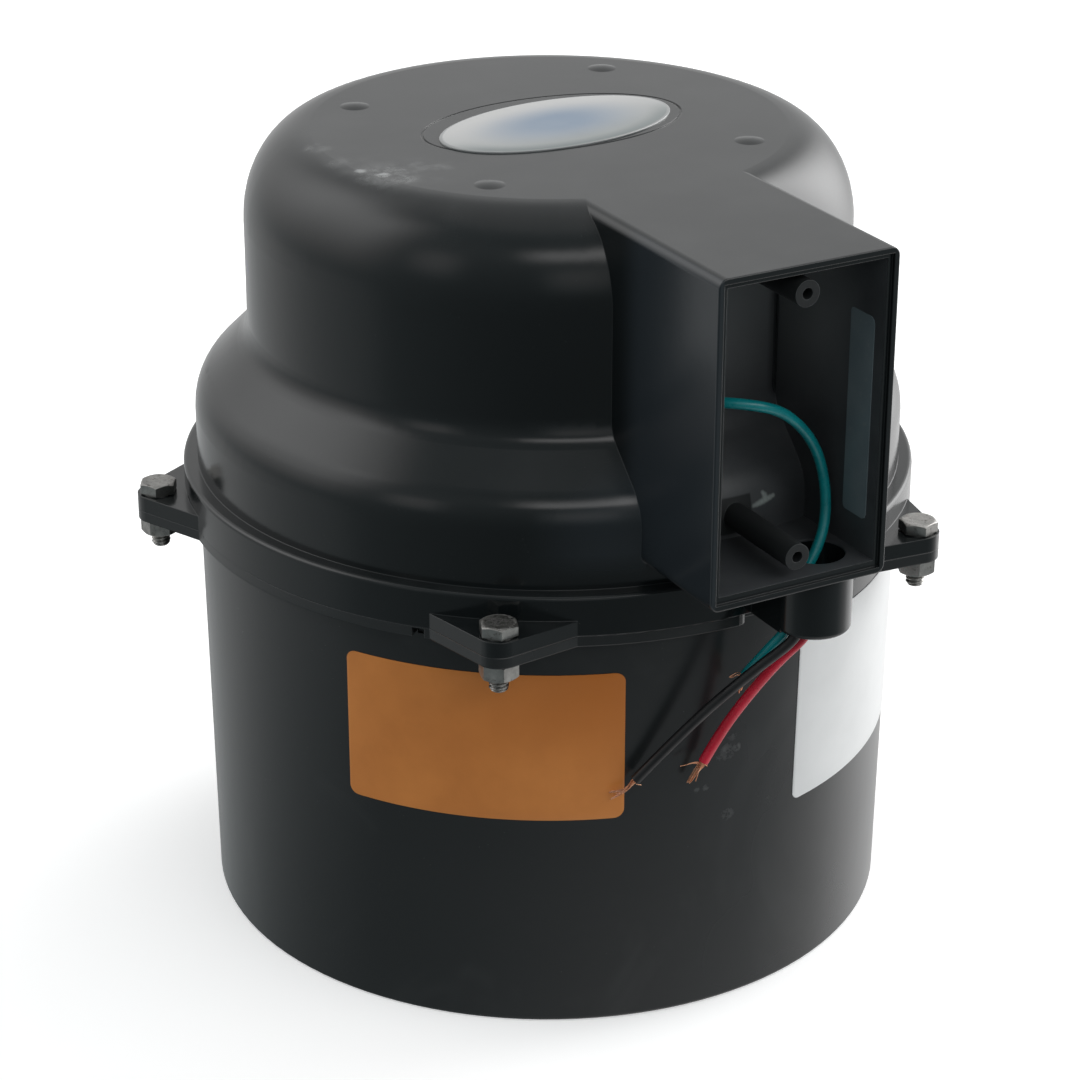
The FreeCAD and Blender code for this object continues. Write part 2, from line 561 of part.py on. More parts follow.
coils = []
upper_half = prism([(0, 0), (60, 60 * math.tan(math.radians(8))), (60, 80), (-60, 80), (-60, 60 * math.tan(math.radians(8)))], 70, 150)
slot_zone = prism([(0, 0), (60, 60 * math.tan(math.radians(8))), (60, 60 * math.tan(math.radians(39))),
                   (0.5, 0.5 * math.tan(math.radians(39)))], 70, 150)
mirror_zone = slot_zone.mirror(V(0, 0, 0), V(1, 0, 0))
for s in (0, 180):
    ends = fuse([ring(39.0, 27.0, 134.0, 142.0), ring(39.0, 27.0, 82.0, 90.0)]).common(upper_half)
    legs = ring(35.6, 27.0, 85.0, 140.0)
    one = ends.multiFuse([legs.common(slot_zone), legs.common(mirror_zone)]).removeSplitter()
    coils.append(turned(one, s))
save("field_coils", Part.makeCompound([s for c in coils for s in c.Solids]))

brush_br = ring(46.0, 40.0, 66.0, 90.0)
for k in range(4):
    if k % 2 == 0:
        brush_br = brush_br.cut(turned(block(30, 50, -5.2, 5.2, 72.8, 81.2), 90 * k))
    else:
        brush_br = brush_br.cut(turned(block(30, 50, -14, 14, 72.0, 86.0), 90 * k))
arms = []
for k in range(4):
    arms.append(turned(block(12, 44, -6, 6, 62.0, 66.4), 45 + 90 * k))
brush_br = fuse([brush_br] + arms + [ring(14.5, 11.0, 58.0, 68.0), ring(14.5, 5.4, 58.0, 60.0), ring(46.0, 40.0, 62.0, 66.4)])
for x, y in MOTOR_BOLTS:
    brush_br = brush_br.cut(cyl(2.0, 60, 92, x, y))
save("brush_end_bracket", brush_br)
mb = []
for x, y in MOTOR_BOLTS:
    mb.append(fuse([cyl(3.6, 59.4, 62.0, x, y), cyl(1.95, 61.9, 156.0, x, y)]))
save("motor_bolts", Part.makeCompound(mb))

holders, caps, springs = [], [], []
for s in (1, -1):
    h = block(15.0, 46.0, -5.2, 5.2, 72.8, 81.2).cut(block(14.0, 47.0, -4.1, 4.1, 73.9, 80.1))
    h = h.fuse(block(46.0, 48.0, -5.2, 5.2, 72.8, 81.2)).removeSplitter()
    sp = ring(2.9, 2.1, 0, 1.0)
    coil = []
    for k in range(7):
        x0 = 30.9 + 2.3 * k
        c = rod(2.9, (x0, 0, 77.0), (x0 + 1.0, 0, 77.0)).cut(rod(2.0, (x0 - 1, 0, 77.0), (x0 + 2, 0, 77.0)))
        coil.append(c)
        if k < 6:
            coil.append(block(x0 + 0.9, x0 + 2.4, (2.05 if k % 2 else -2.85), (2.85 if k % 2 else -2.05), 76.6, 77.4))
    coil = fuse(coil)
    if s == -1:
        h = turned(h, 180)
        coil = turned(coil, 180)
    holders.append(h)
    springs.append(coil)
save("brush_holders", Part.makeCompound(holders))
save("brush_spring_right", springs[0])
save("brush_spring_left", springs[1])
brush = block(12.3, 30.6, -4.03, 4.03, 73.97, 80.03)
brush = brush.cut(cyl(12.35, 70, 85))
save("brush_right", brush)
save("brush_left", turned(brush, 180))


def bearing(z0, z1):
    race = ring(11.0, 9.4, z0, z1)
    zm = (z0 + z1) / 2
    cage = ring(9.5, 6.6, zm - 0.8, zm + 0.8)
    parts = [race, cage]
    for k in range(8):
        t = math.radians(45 * k)
        parts.append(Part.makeSphere(1.35, V(8.0 * math.cos(t), 8.0 * math.sin(t), zm)))
    return fuse(parts)


save("fan_end_bearing", bearing(145.0, 152.0))
save("brush_end_bearing", bearing(60.0, 67.0))

# ------------------------------------------------------------------- rotor
shaft = fuse([cyl(4.0, 60.4, 206.5), cyl(6.0, 93.0, 131.0)])
save("shaft", shaft)
save("bearing_inner_races", Part.makeCompound([ring(6.3, 4.0, 145.0, 152.0), ring(6.3, 4.0, 60.0, 67.0)]))
arm = ring(25.0, 6.0, 93.0, 131.0)
for k in range(12):
    arm = arm.cut(turned(block(14.0, 26.0, -1.6, 1.6, 92, 132).fuse(cyl(2.6, 92, 132, 17.5, 0)), 30 * k))
save("armature_core", arm.removeSplitter())


def end_turns(z0, z1, up):
    zr = 3.0
    if up:
        return revolved([(22.0, z0), (22.0, z1 - zr), (22.0 - zr + zr * s45, z1 - zr + zr * s45, "m"),
                         (22.0 - zr, z1), (4.0, z1), (4.0, z0)])
    return revolved([(4.0, z1), (22.0, z1), (22.0, z0 + zr), (22.0 - zr + zr * s45, z0 + zr - zr * s45, "m"),
                     (22.0 - zr, z0), (4.0, z0)])


save("armature_windings", Part.makeCompound([end_turns(131.0, 141.0, True), end_turns(86.5, 93.0, False)]))
comm = ring(12.0, 4.0, 70.5, 84.0)
for k in range(24):
    comm = comm.cut(turned(block(10.6, 12.5, -0.25, 0.25, 70, 85), 15 * k))
comm = comm.fuse(ring(13.4, 4.0, 84.0, 86.0)).removeSplitter()
save("commutator", comm)


def impeller(z0, z1, hand):
    low_plate = ring(66.0, 4.0, z0, z0 + 1.0)
    top_plate = ring(66.0, 22.0, z1 - 0.9, z1)
    hub = ring(11.0, 4.0, z0, z1 - 2.0)
    blades = []
    for k in range(8):
        b = ring(46.0, 44.8, z0 + 0.5, z1 - 0.5, 28.0, 34.0 * hand)
        b = b.common(cyl(65.0, z0, z1).cut(cyl(20.0, z0 - 1, z1 + 1)))
        b = b.common(block(8, 80, -60, 60, z0 - 1, z1 + 1))
        best = max(b.Solids, key=lambda s: s.Volume)
        blades.append(turned(best, 45 * k))
    return fuse([low_plate, top_plate, hub] + blades)


save("lower_impeller", impeller(161.0, 172.0, -1))
save("upper_impeller", impeller(187.0, 200.0, -1))
save("shaft_spacers", Part.makeCompound([ring(5.0, 4.0, 152.3, 161.0), ring(9.0, 4.0, 170.0, 187.0)]))
save("shaft_nut", hexagon(13.0, 198.0, 204.0, 0, 0).cut(cyl(4.0, 197, 205)))
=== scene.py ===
import bpy
import bmesh
import math
import random
from mathutils import Vector, Matrix


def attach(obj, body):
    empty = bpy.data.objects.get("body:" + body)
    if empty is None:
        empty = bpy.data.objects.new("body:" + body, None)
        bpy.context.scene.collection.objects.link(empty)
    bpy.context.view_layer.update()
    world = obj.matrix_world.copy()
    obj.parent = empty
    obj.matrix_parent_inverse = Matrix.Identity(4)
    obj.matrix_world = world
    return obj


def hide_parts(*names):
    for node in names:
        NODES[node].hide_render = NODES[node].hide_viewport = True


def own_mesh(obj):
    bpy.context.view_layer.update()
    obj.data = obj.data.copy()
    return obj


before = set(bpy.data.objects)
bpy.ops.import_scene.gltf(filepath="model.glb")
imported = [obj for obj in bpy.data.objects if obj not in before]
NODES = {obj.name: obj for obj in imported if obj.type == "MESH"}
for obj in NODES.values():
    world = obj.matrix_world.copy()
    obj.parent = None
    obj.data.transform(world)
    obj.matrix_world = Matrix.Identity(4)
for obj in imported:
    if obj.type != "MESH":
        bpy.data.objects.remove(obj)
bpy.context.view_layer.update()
MM = 0.001
BODY = "housing"
BADGE_TURN = math.radians(6.6)


# ------------------------------------------------------------------ camera
cam_data = bpy.data.cameras.new("camera")
cam = bpy.data.objects.new("camera", cam_data)
bpy.context.scene.collection.objects.link(cam)
right = Vector((0.874241, -0.485493, 0.002524)).normalized()
forward = Vector((0.44258, 0.794818, -0.4152004)).normalized()
up = right.cross(forward).normalized()
right = forward.cross(up).normalized()
place = Matrix.Identity(4)
for i in range(3):
    place[i][0] = right[i]
    place[i][1] = up[i]
    place[i][2] = -forward[i]
    place[i][3] = (-0.48418, -0.86437, 0.57150)[i]
cam.matrix_world = place
cam_data.sensor_width = 36.0
cam_data.lens = 3168.0 * 36.0 / 1080.0
cam_data.clip_start = 0.01
cam_data.clip_end = 60.0
bpy.context.scene.camera = cam


# --------------------------------------------------------------- materials
class Net:
    """A short way to write a node tree."""

    def __init__(self, name):
        self.mat = bpy.data.materials.new(name)
        self.mat.use_nodes = True
        self.t = self.mat.node_tree
        self.t.nodes.clear()
        self.out = self.add("ShaderNodeOutputMaterial")
        self.bsdf = self.add("ShaderNodeBsdfPrincipled")
        self.link(self.bsdf.outputs["BSDF"], self.out.inputs["Surface"])
        self.coord = self.add("ShaderNodeTexCoord")
        self.obj = self.coord.outputs["Object"]

    def add(self, kind, **props):
        n = self.t.nodes.new(kind)
        for k, v in props.items():
            setattr(n, k, v)
        return n

    def link(self, a, b):
        self.t.links.new(a, b)

    def feed(self, node, key, value):
        s = node.inputs[key]
        if isinstance(value, bpy.types.NodeSocket):
            self.link(value, s)
        elif hasattr(s.default_value, "__len__") and not hasattr(value, "__len__"):
            s.default_value = [value] * len(s.default_value)
        elif hasattr(s.default_value, "__len__") and len(s.default_value) == 4 and len(value) == 3:
            s.default_value = (*value, 1.0)
        else:
            s.default_value = value

    def mapping(self, scale=(1, 1, 1), rot=(0, 0, 0), loc=(0, 0, 0), vec=None):
        m = self.add("ShaderNodeMapping")
        m.inputs["Scale"].default_value = scale
        m.inputs["Rotation"].default_value = rot
        m.inputs["Location"].default_value = loc
        self.link(vec or self.obj, m.inputs["Vector"])
        return m.outputs["Vector"]

    def noise(self, scale, detail=2.0, rough=0.5, vec=None, distort=0.0):
        n = self.add("ShaderNodeTexNoise")
        n.inputs["Scale"].default_value = scale
        n.inputs["Detail"].default_value = detail
        n.inputs["Roughness"].default_value = rough
        n.inputs["Distortion"].default_value = distort
        self.link(vec or self.obj, n.inputs["Vector"])
        return n.outputs["Fac"]

    def voronoi(self, scale, feature="F1", vec=None, rand=1.0):
        n = self.add("ShaderNodeTexVoronoi", feature=feature)
        n.inputs["Scale"].default_value = scale
        n.inputs["Randomness"].default_value = rand
        self.link(vec or self.obj, n.inputs["Vector"])
        return n.outputs["Distance"]

    def wave(self, scale, vec=None, distort=0.0, direction="X", detail=2.0, profile="SIN"):
        n = self.add("ShaderNodeTexWave", bands_direction=direction, wave_profile=profile)
        n.inputs["Scale"].default_value = scale
        n.inputs["Distortion"].default_value = distort
        n.inputs["Detail"].default_value = detail
        self.link(vec or self.obj, n.inputs["Vector"])
        return n.outputs["Fac"]

    def span(self, fac, a, b, c=0.0, d=1.0, smooth=False):
        n = self.add("ShaderNodeMapRange")
        n.interpolation_type = "SMOOTHSTEP" if smooth else "LINEAR"
        n.clamp = True
        self.link(fac, n.inputs["Value"])
        n.inputs["From Min"].default_value = a
        n.inputs["From Max"].default_value = b
        n.inputs["To Min"].default_value = c
        n.inputs["To Max"].default_value = d
        return n.outputs["Result"]

    def math(self, op, a, b=None, clamp=False):
        n = self.add("ShaderNodeMath", operation=op, use_clamp=clamp)
        self.feed(n, 0, a)
        if b is not None:
            self.feed(n, 1, b)
        return n.outputs[0]

    def mix(self, fac, a, b):
        n = self.add("ShaderNodeMix", data_type="RGBA")
        self.feed(n, 0, fac)
        self.feed(n, 6, a)
        self.feed(n, 7, b)
        return n.outputs[2]

    def bump(self, height, distance, strength=1.0, normal=None):
        n = self.add("ShaderNodeBump")
        n.inputs["Strength"].default_value = strength
        n.inputs["Distance"].default_value = distance
        self.link(height, n.inputs["Height"])
        if normal is not None:
            self.link(normal, n.inputs["Normal"])
        return n.outputs["Normal"]

    def soft_edges(self, radius, samples=6):
        n = self.add("ShaderNodeBevel", samples=samples)
        n.inputs["Radius"].default_value = radius
        return n.outputs["Normal"]

    def edge_mask(self, radius, lo=0.02, hi=0.25):
        """1 at convex and concave edges, 0 on open surface."""
        b = self.add("ShaderNodeBevel", samples=6)
        b.inputs["Radius"].default_value = radius
        g = self.add("ShaderNodeNewGeometry")
        d = self.add("ShaderNodeVectorMath", operation="DOT_PRODUCT")
        self.link(b.outputs["Normal"], d.inputs[0])
        self.link(g.outputs["Normal"], d.inputs[1])
        one = self.math("SUBTRACT", 1.0, d.outputs["Value"])
        return self.span(one, lo, hi)

    def facing_up(self, lo=0.55, hi=0.95):
        g = self.add("ShaderNodeNewGeometry")
        s = self.add("ShaderNodeSeparateXYZ")
        self.link(g.outputs["Normal"], s.inputs[0])
        return self.span(s.outputs["Z"], lo, hi)

    def spot(self, point, radius, soft=0.5):
        """1 within radius of a point in the frame, fading out."""
        n = self.add("ShaderNodeVectorMath", operation="DISTANCE")
        self.link(self.obj, n.inputs[0])
        n.inputs[1].default_value = point
        return self.span(n.outputs["Value"], radius, radius * (1 - soft), 0.0, 1.0, smooth=True)

    def set(self, **values):
        for k, v in values.items():
            self.feed(self.bsdf, k.replace("_", " "), v)
        return self.mat


def housing_plastic(name, dark, light, rough_lo, rough_hi, dust_amount, marks, ink=(), box=False, smudge_and_reflection=0.0):
    """Smooth moulded plastic; each mark is (point, radius, amount, noise scale, low, high)."""
    n = Net(name)
    broad = n.noise(7.0, 3.0, 0.55)
    fine = n.noise(900.0, 2.0, 0.6)
    peel = n.noise(150.0, 2.0, 0.5)
    base = n.mix(n.span(broad, 0.35, 0.65), dark, light)
    # dust lies on what faces up, and a little on the rest
    cloud = n.span(n.noise(24.0, 5.0, 0.62), 0.44, 0.80)
    dust = n.math("MULTIPLY", n.math("MULTIPLY", n.facing_up(0.35, 0.98), cloud), dust_amount)
    specks = n.math("MULTIPLY", n.span(n.voronoi(560.0), 0.085, 0.045),
                    n.span(n.noise(70.0, 1.0, 0.5), 0.60, 0.66))
    specks = n.math("MULTIPLY", specks, 0.09)
    pale = n.math("MAXIMUM", dust, specks)
    if smudge_and_reflection:
        # pale wipe marks: partly real smudges that raise roughness, partly painted reflection blotches on the canister
        smudge_reflection_mask = n.span(n.noise(11.0, 3.0, 0.6, distort=1.6), 0.50, 0.72, smooth=True)
        pale = n.math("MAXIMUM", pale, n.math("MULTIPLY", smudge_reflection_mask, smudge_and_reflection))
    for point, radius, amount, scale, lo, hi in marks:
        m = n.math("MULTIPLY", n.spot(point, radius, 0.85), n.span(n.noise(scale, 4.0, 0.7), lo, hi))
        if point[2] > 0.26:
            m = n.math("MULTIPLY", m, n.facing_up(0.86, 0.975))
        pale = n.math("MAXIMUM", pale, n.math("MULTIPLY", m, amount))
    edge = n.math("MULTIPLY", n.edge_mask(0.0005, 0.03, 0.30), n.span(n.noise(90.0, 3.0, 0.7), 0.35, 0.7))
    col = n.mix(n.math("MULTIPLY", edge, 0.045), base, (0.11, 0.115, 0.12))
    col = n.mix(pale, col, (0.40, 0.41, 0.41))
    for point, radius in ink:
        col = n.mix(n.spot(point, radius, 0.4), col, (0.005, 0.010, 0.16))
    rough = n.span(broad, 0.3, 0.7, rough_lo, rough_hi)
    rough = n.math("ADD", rough, n.math("MULTIPLY", pale, 0.35), clamp=True)
    if box:
        # the inside of the wiring box is duller than the polished outside; its colour is painted far lighter, as
        # painted fill light against the box's shade, and lighter still in the deep top back
        s = n.add("ShaderNodeSeparateXYZ")
        n.link(n.obj, s.inputs[0])
        inside = n.math("MULTIPLY", n.span(n.math("ABSOLUTE", s.outputs["X"]), 0.02770, 0.02760),
                        n.span(s.outputs["Y"], -0.15275, -0.15265))
        inside = n.math("MULTIPLY", inside, n.span(s.outputs["Y"], -0.0960, -0.0970))
        inside = n.math("MULTIPLY", inside, n.span(s.outputs["Z"], 0.1669, 0.1670))
        inside = n.math("MULTIPLY", inside, n.span(s.outputs["Z"], 0.2647, 0.2646))
        film = n.mix(n.span(n.noise(60.0, 5.0, 0.6), 0.35, 0.70), (0.052, 0.056, 0.060), (0.074, 0.078, 0.083))
        # painted fill light: the deep top back, the most shaded part of the box, is lightened further
        painted_shading = n.math("MULTIPLY", n.span(s.outputs["Z"], 0.196, 0.246, smooth=True), n.span(s.outputs["Y"], -0.146, -0.112, smooth=True))
        film = n.mix(painted_shading, film, (0.250, 0.256, 0.262))
        # the screw posts keep the plain dark plastic colour, with a painted highlight along their edges
        post = n.math("MULTIPLY", n.span(n.math("ABSOLUTE", s.outputs["X"]), 0.0062, 0.0056),
                      n.span(n.math("ABSOLUTE", n.math("SUBTRACT", n.math("ABSOLUTE", n.math("SUBTRACT", s.outputs["Z"], 0.2165)),
                                                       0.04167)), 0.0062, 0.0056))
        post = n.math("MULTIPLY", post, n.span(s.outputs["Y"], -0.104, -0.108))
        film = n.mix(post, film, (0.013, 0.015, 0.016))
        film = n.mix(n.math("MULTIPLY", n.math("MULTIPLY", post, n.edge_mask(0.0003, 0.04, 0.22)), 0.8), film, (0.14, 0.15, 0.155))
        col = n.mix(inside, col, film)
        # a short pale curved mark on the back wall
        for point, radius in BOX_MARKS:
            col = n.mix(n.math("MULTIPLY", n.spot(point, radius, 0.7), 0.60), col, (0.42, 0.47, 0.45))
        # painted fill light: the left outer wall of the box is painted lighter than the rest
        wall = n.math("MULTIPLY", n.span(s.outputs["X"], -0.0290, -0.0298), n.span(s.outputs["Y"], -0.098, -0.112, smooth=True))
        wall = n.math("MULTIPLY", wall, n.span(s.outputs["Z"], 0.160, 0.168))
        col = n.mix(n.math("MULTIPLY", wall, 0.9), col, (0.0230, 0.0290, 0.0345))
        rough = n.math("ADD", rough, n.math("MULTIPLY", inside, 0.28), clamp=True)
        rough = n.math("ADD", rough, n.math("MULTIPLY", n.math("MULTIPLY", inside, post), 0.25), clamp=True)
    nrm = n.soft_edges(0.00045, 8)
    nrm = n.bump(fine, 0.000012, 0.5, nrm)
    nrm = n.bump(peel, 0.00005, 0.35, nrm)
    return n.set(Base_Color=col, Roughness=rough, Normal=nrm, IOR=1.50)


def inner_plastic():
    n = Net("black_matt_plastic")
    base = n.mix(n.span(n.noise(14.0, 3.0), 0.35, 0.65), (0.012, 0.012, 0.013), (0.020, 0.020, 0.021))
    dust = n.math("MULTIPLY", n.span(n.noise(60.0, 5.0, 0.6), 0.5, 0.8), 0.12)
    col = n.mix(dust, base, (0.22, 0.21, 0.20))
    rough = n.span(n.noise(40.0), 0.3, 0.7, 0.42, 0.58)
    nrm = n.bump(n.noise(1400.0, 1.0), 0.00003, 0.8, n.soft_edges(0.0003))
    return n.set(Base_Color=col, Roughness=rough, Normal=nrm)


def label_film(name, dark, light, rough_lo, rough_hi, wear=0.10, soil=(0.25, 0.20, 0.15), painted_shading=None):
    n = Net(name)
    col = n.mix(n.span(n.noise(45.0, 4.0, 0.55), 0.3, 0.7), dark, light)
    grain = n.span(n.noise(1600.0, 1.0), 0.35, 0.65)
    col = n.mix(n.math("MULTIPLY", grain, 0.06), col, light)
    if painted_shading:
        s = n.add("ShaderNodeSeparateXYZ")
        n.link(n.obj, s.inputs[0])
        # painted shade: the upper right corner of the label, under the collar, is darkened
        corner = n.math("MULTIPLY", n.span(s.outputs["X"], -0.100, -0.040, smooth=True), n.span(s.outputs["Z"], 0.080, 0.122, smooth=True))
        col = n.mix(n.math("MULTIPLY", corner, 0.75), col, painted_shading)
    marks = n.math("MULTIPLY", n.span(n.noise(120.0, 5.0, 0.7), 0.60, 0.74), wear)
    col = n.mix(marks, col, soil)
    rough = n.span(n.noise(70.0, 3.0), 0.3, 0.7, rough_lo, rough_hi)
    nrm = n.bump(n.noise(60.0, 2.0), 0.00012, 0.5)
    nrm = n.bump(n.noise(900.0, 2.0), 0.00001, 0.6, nrm)
    return n.set(Base_Color=col, Roughness=rough, Normal=nrm)


def badge_resin():
    """A plain oval: cream rim, greyer toward the front as painted shade on the resin dome, a soft cool field under
    clear resin.
    """
    n = Net("oval_badge")
    m = n.add("ShaderNodeMapping", vector_type="TEXTURE")
    m.inputs["Location"].default_value = (0.0014, -0.0024, 0.0)
    m.inputs["Rotation"].default_value = (0.0, 0.0, BADGE_TURN)
    m.inputs["Scale"].default_value = (0.0428, 0.0238, 1.0)
    n.link(n.obj, m.inputs["Vector"])
    s = n.add("ShaderNodeSeparateXYZ")
    n.link(m.outputs["Vector"], s.inputs[0])
    rr = n.math("SQRT", n.math("ADD", n.math("POWER", s.outputs["X"], 2.0), n.math("POWER", s.outputs["Y"], 2.0)))
    haze = n.span(n.noise(30.0, 3.0), 0.3, 0.7)
    # painted shade: the ground darkens toward the front of the resin dome
    ground = n.mix(n.span(s.outputs["Y"], -0.95, 0.75, smooth=True), (0.20, 0.225, 0.225), (0.47, 0.47, 0.465))
    field = n.mix(n.span(rr, 0.18, 0.86, 0.0, 1.0, smooth=True), (0.085, 0.165, 0.27), ground)
    field = n.mix(n.math("MULTIPLY", haze, 0.18), field, (0.40, 0.41, 0.41))
    # painted shade: a darker band along the front edge of the resin dome
    front = n.math("MULTIPLY", n.span(s.outputs["Y"], 0.05, -0.55, smooth=True), n.span(rr, 0.76, 0.95, smooth=True))
    col = n.mix(n.math("MULTIPLY", front, 0.85), field, (0.115, 0.145, 0.145))
    col = n.mix(n.span(rr, 0.965, 0.980), col, (0.24, 0.25, 0.25))
    rough = n.span(n.noise(80.0, 3.0), 0.3, 0.7, 0.12, 0.22)
    nrm = n.bump(n.noise(40.0, 2.0), 0.0001, 0.35)
    return n.set(Base_Color=col, Roughness=rough, Normal=nrm, Coat_Weight=0.6, Coat_Roughness=0.06)


def clear_label():
    n = Net("clear_box_label")
    col = n.mix(n.span(n.noise(60.0, 4.0), 0.3, 0.7), (0.15, 0.195, 0.215), (0.20, 0.245, 0.265))
    marks = n.math("MULTIPLY", n.span(n.noise(300.0, 4.0, 0.7), 0.58, 0.72), 0.20)
    col = n.mix(marks, col, (0.30, 0.32, 0.33))
    rough = n.span(n.noise(50.0, 2.0), 0.3, 0.7, 0.28, 0.42)
    return n.set(Base_Color=col, Roughness=rough, Normal=n.bump(n.noise(120.0, 2.0), 0.00006, 0.5))


def metal(name, dark, light, rough_lo, rough_hi, spots=(0.10, 0.08, 0.06), spot_amount=0.5, scale=1.0,
          bevel=0.00018, brushed=None, speckle_and_painted_reflection=False):
    n = Net(name)
    blotch = n.noise(240.0 * scale, 4.0, 0.65)
    col = n.mix(n.span(blotch, 0.32, 0.68), dark, light)
    pits = n.math("MULTIPLY", n.span(n.noise(700.0 * scale, 3.0, 0.7), 0.57, 0.70), spot_amount)
    col = n.mix(pits, col, spots)
    rough = n.math("ADD", n.span(n.noise(320.0 * scale, 3.0), 0.3, 0.7, rough_lo, rough_hi),
                   n.math("MULTIPLY", pits, 0.25), clamp=True)
    nrm = n.soft_edges(bevel) if bevel else None
    nrm = n.bump(n.noise(900.0 * scale, 3.0, 0.7), 0.00004, 0.55, nrm)
    if speckle_and_painted_reflection:
        grit = n.math("MULTIPLY", n.span(n.noise(1500.0, 3.0, 0.75), 0.46, 0.60), n.facing_up(0.90, 0.99))
        nrm = n.bump(grit, 0.00022, 0.9, nrm)
        # painted dark reflection: the head of the front bolt is darkened, leaving a bright rim
        painted_dark_reflection = n.math("MULTIPLY", n.spot((-0.0767, -0.1072, 0.1520), 0.0050, 0.12), n.facing_up(0.90, 0.99))
        painted_dark_reflection = n.math("MULTIPLY", painted_dark_reflection, n.span(n.noise(520.0, 4.0, 0.7), 0.36, 0.54, 0.95, 0.45))
        col = n.mix(painted_dark_reflection, col, (0.060, 0.060, 0.056))
    if brushed:
        v = n.mapping(scale=brushed)
        nrm = n.bump(n.noise(90.0, 2.0, 0.6, vec=v), 0.00003, 0.5, nrm)
    return n.set(Base_Color=col, Roughness=rough, Metallic=1.0, Normal=nrm)


def turned_metal(name, dark, light, rough_lo, rough_hi):
    """Fine rings round Z, as left by a lathe or a press."""
    n = Net(name)
    s = n.add("ShaderNodeSeparateXYZ")
    n.link(n.obj, s.inputs[0])
    r = n.math("SQRT", n.math("ADD", n.math("POWER", s.outputs["X"], 2.0), n.math("POWER", s.outputs["Y"], 2.0)))
    c = n.add("ShaderNodeCombineXYZ")
    n.link(r, c.inputs["X"])
    n.link(s.outputs["Z"], c.inputs["Z"])
    fine = n.noise(2200.0, 3.0, 0.6, vec=c.outputs[0])
    col = n.mix(n.span(n.noise(60.0, 4.0, 0.6), 0.3, 0.7), dark, light)
    col = n.mix(n.math("MULTIPLY", n.span(fine, 0.4, 0.6), 0.18), col, light)
    rough = n.span(fine, 0.3, 0.7, rough_lo, rough_hi)
    nrm = n.bump(fine, 0.00002, 0.7, n.soft_edges(0.0002))
    return n.set(Base_Color=col, Roughness=rough, Metallic=1.0, Normal=nrm)


def laminations():
    n = Net("stacked_laminations")
    s = n.wave(1000.0 / 6.2831853 * 2.0, direction="Z", distort=0.15)
    col = n.mix(n.span(n.noise(80.0, 4.0), 0.3, 0.7), (0.10, 0.095, 0.09), (0.22, 0.21, 0.20))
    col = n.mix(n.span(s, 0.25, 0.05), col, (0.03, 0.025, 0.02))
    rust = n.math("MULTIPLY", n.span(n.noise(45.0, 5.0, 0.7), 0.58, 0.75), 0.35)
    col = n.mix(rust, col, (0.12, 0.055, 0.03))
    rough = n.span(n.noise(200.0), 0.3, 0.7, 0.38, 0.55)
    return n.set(Base_Color=col, Roughness=rough, Metallic=0.8, Normal=n.bump(s, 0.00012, 0.8, n.soft_edges(0.0003)))


def wound_copper():
    n = Net("enamelled_windings")
    v = n.mapping(rot=(0.0, 0.0, 0.0))
    turns = n.wave(1000.0 / 6.2831853 * 1.3, direction="DIAGONAL", distort=1.2, vec=v)
    col = n.mix(n.span(n.noise(70.0, 4.0), 0.3, 0.7), (0.26, 0.075, 0.028), (0.50, 0.17, 0.06))
    col = n.mix(n.span(turns, 0.30, 0.06), col, (0.05, 0.015, 0.008))
    rough = n.span(n.noise(150.0), 0.3, 0.7, 0.22, 0.36)
    return n.set(Base_Color=col, Roughness=rough, Metallic=0.85, Normal=n.bump(turns, 0.00035, 0.9, n.soft_edges(0.0006)))


def rubber():
    n = Net("moulded_rubber")
    col = n.mix(n.span(n.noise(30.0, 4.0), 0.3, 0.7), (0.010, 0.010, 0.010), (0.022, 0.021, 0.020))
    bloom = n.math("MULTIPLY", n.span(n.noise(90.0, 5.0, 0.7), 0.5, 0.75), 0.14)
    col = n.mix(bloom, col, (0.14, 0.13, 0.12))
    rough = n.span(n.noise(60.0), 0.3, 0.7, 0.62, 0.80)
    return n.set(Base_Color=col, Roughness=rough, Normal=n.bump(n.noise(1100.0, 2.0), 0.00004, 0.7, n.soft_edges(0.0004)))


def foam():
    n = Net("open_cell_foam")
    cells = n.voronoi(900.0, "F1")
    col = n.mix(n.span(cells, 0.15, 0.65), (0.016, 0.016, 0.018), (0.085, 0.085, 0.09))
    dust = n.math("MULTIPLY", n.span(n.noise(25.0, 4.0), 0.5, 0.75), 0.25)
    col = n.mix(dust, col, (0.20, 0.18, 0.16))
    rough = n.span(n.noise(40.0), 0.3, 0.7, 0.88, 1.0)
    return n.set(Base_Color=col, Roughness=rough, Normal=n.bump(cells, 0.0006, 1.0))


def carbon():
    n = Net("pressed_carbon")
    col = n.mix(n.span(n.noise(500.0, 3.0), 0.4, 0.65), (0.010, 0.010, 0.011), (0.035, 0.035, 0.038))
    rough = n.span(n.noise(120.0), 0.3, 0.7, 0.35, 0.5)
    return n.set(Base_Color=col, Roughness=rough, Normal=n.bump(n.noise(1500.0, 2.0), 0.00003, 0.6, n.soft_edges(0.0003)))


def insulation(name, dark, light, rough_lo=0.22, rough_hi=0.34, pale=(0.5, 0.5, 0.5), dirt=0.12):
    n = Net(name)
    col = n.mix(n.span(n.noise(90.0, 3.0, 0.6), 0.3, 0.7), dark, light)
    streak = n.math("MULTIPLY", n.span(n.noise(420.0, 4.0, 0.7), 0.58, 0.70), dirt)
    col = n.mix(streak, col, pale)
    rough = n.span(n.noise(200.0, 3.0), 0.3, 0.7, rough_lo, rough_hi)
    nrm = n.bump(n.noise(350.0, 2.0), 0.00005, 0.6)
    return n.set(Base_Color=col, Roughness=rough, Normal=nrm, IOR=1.5)


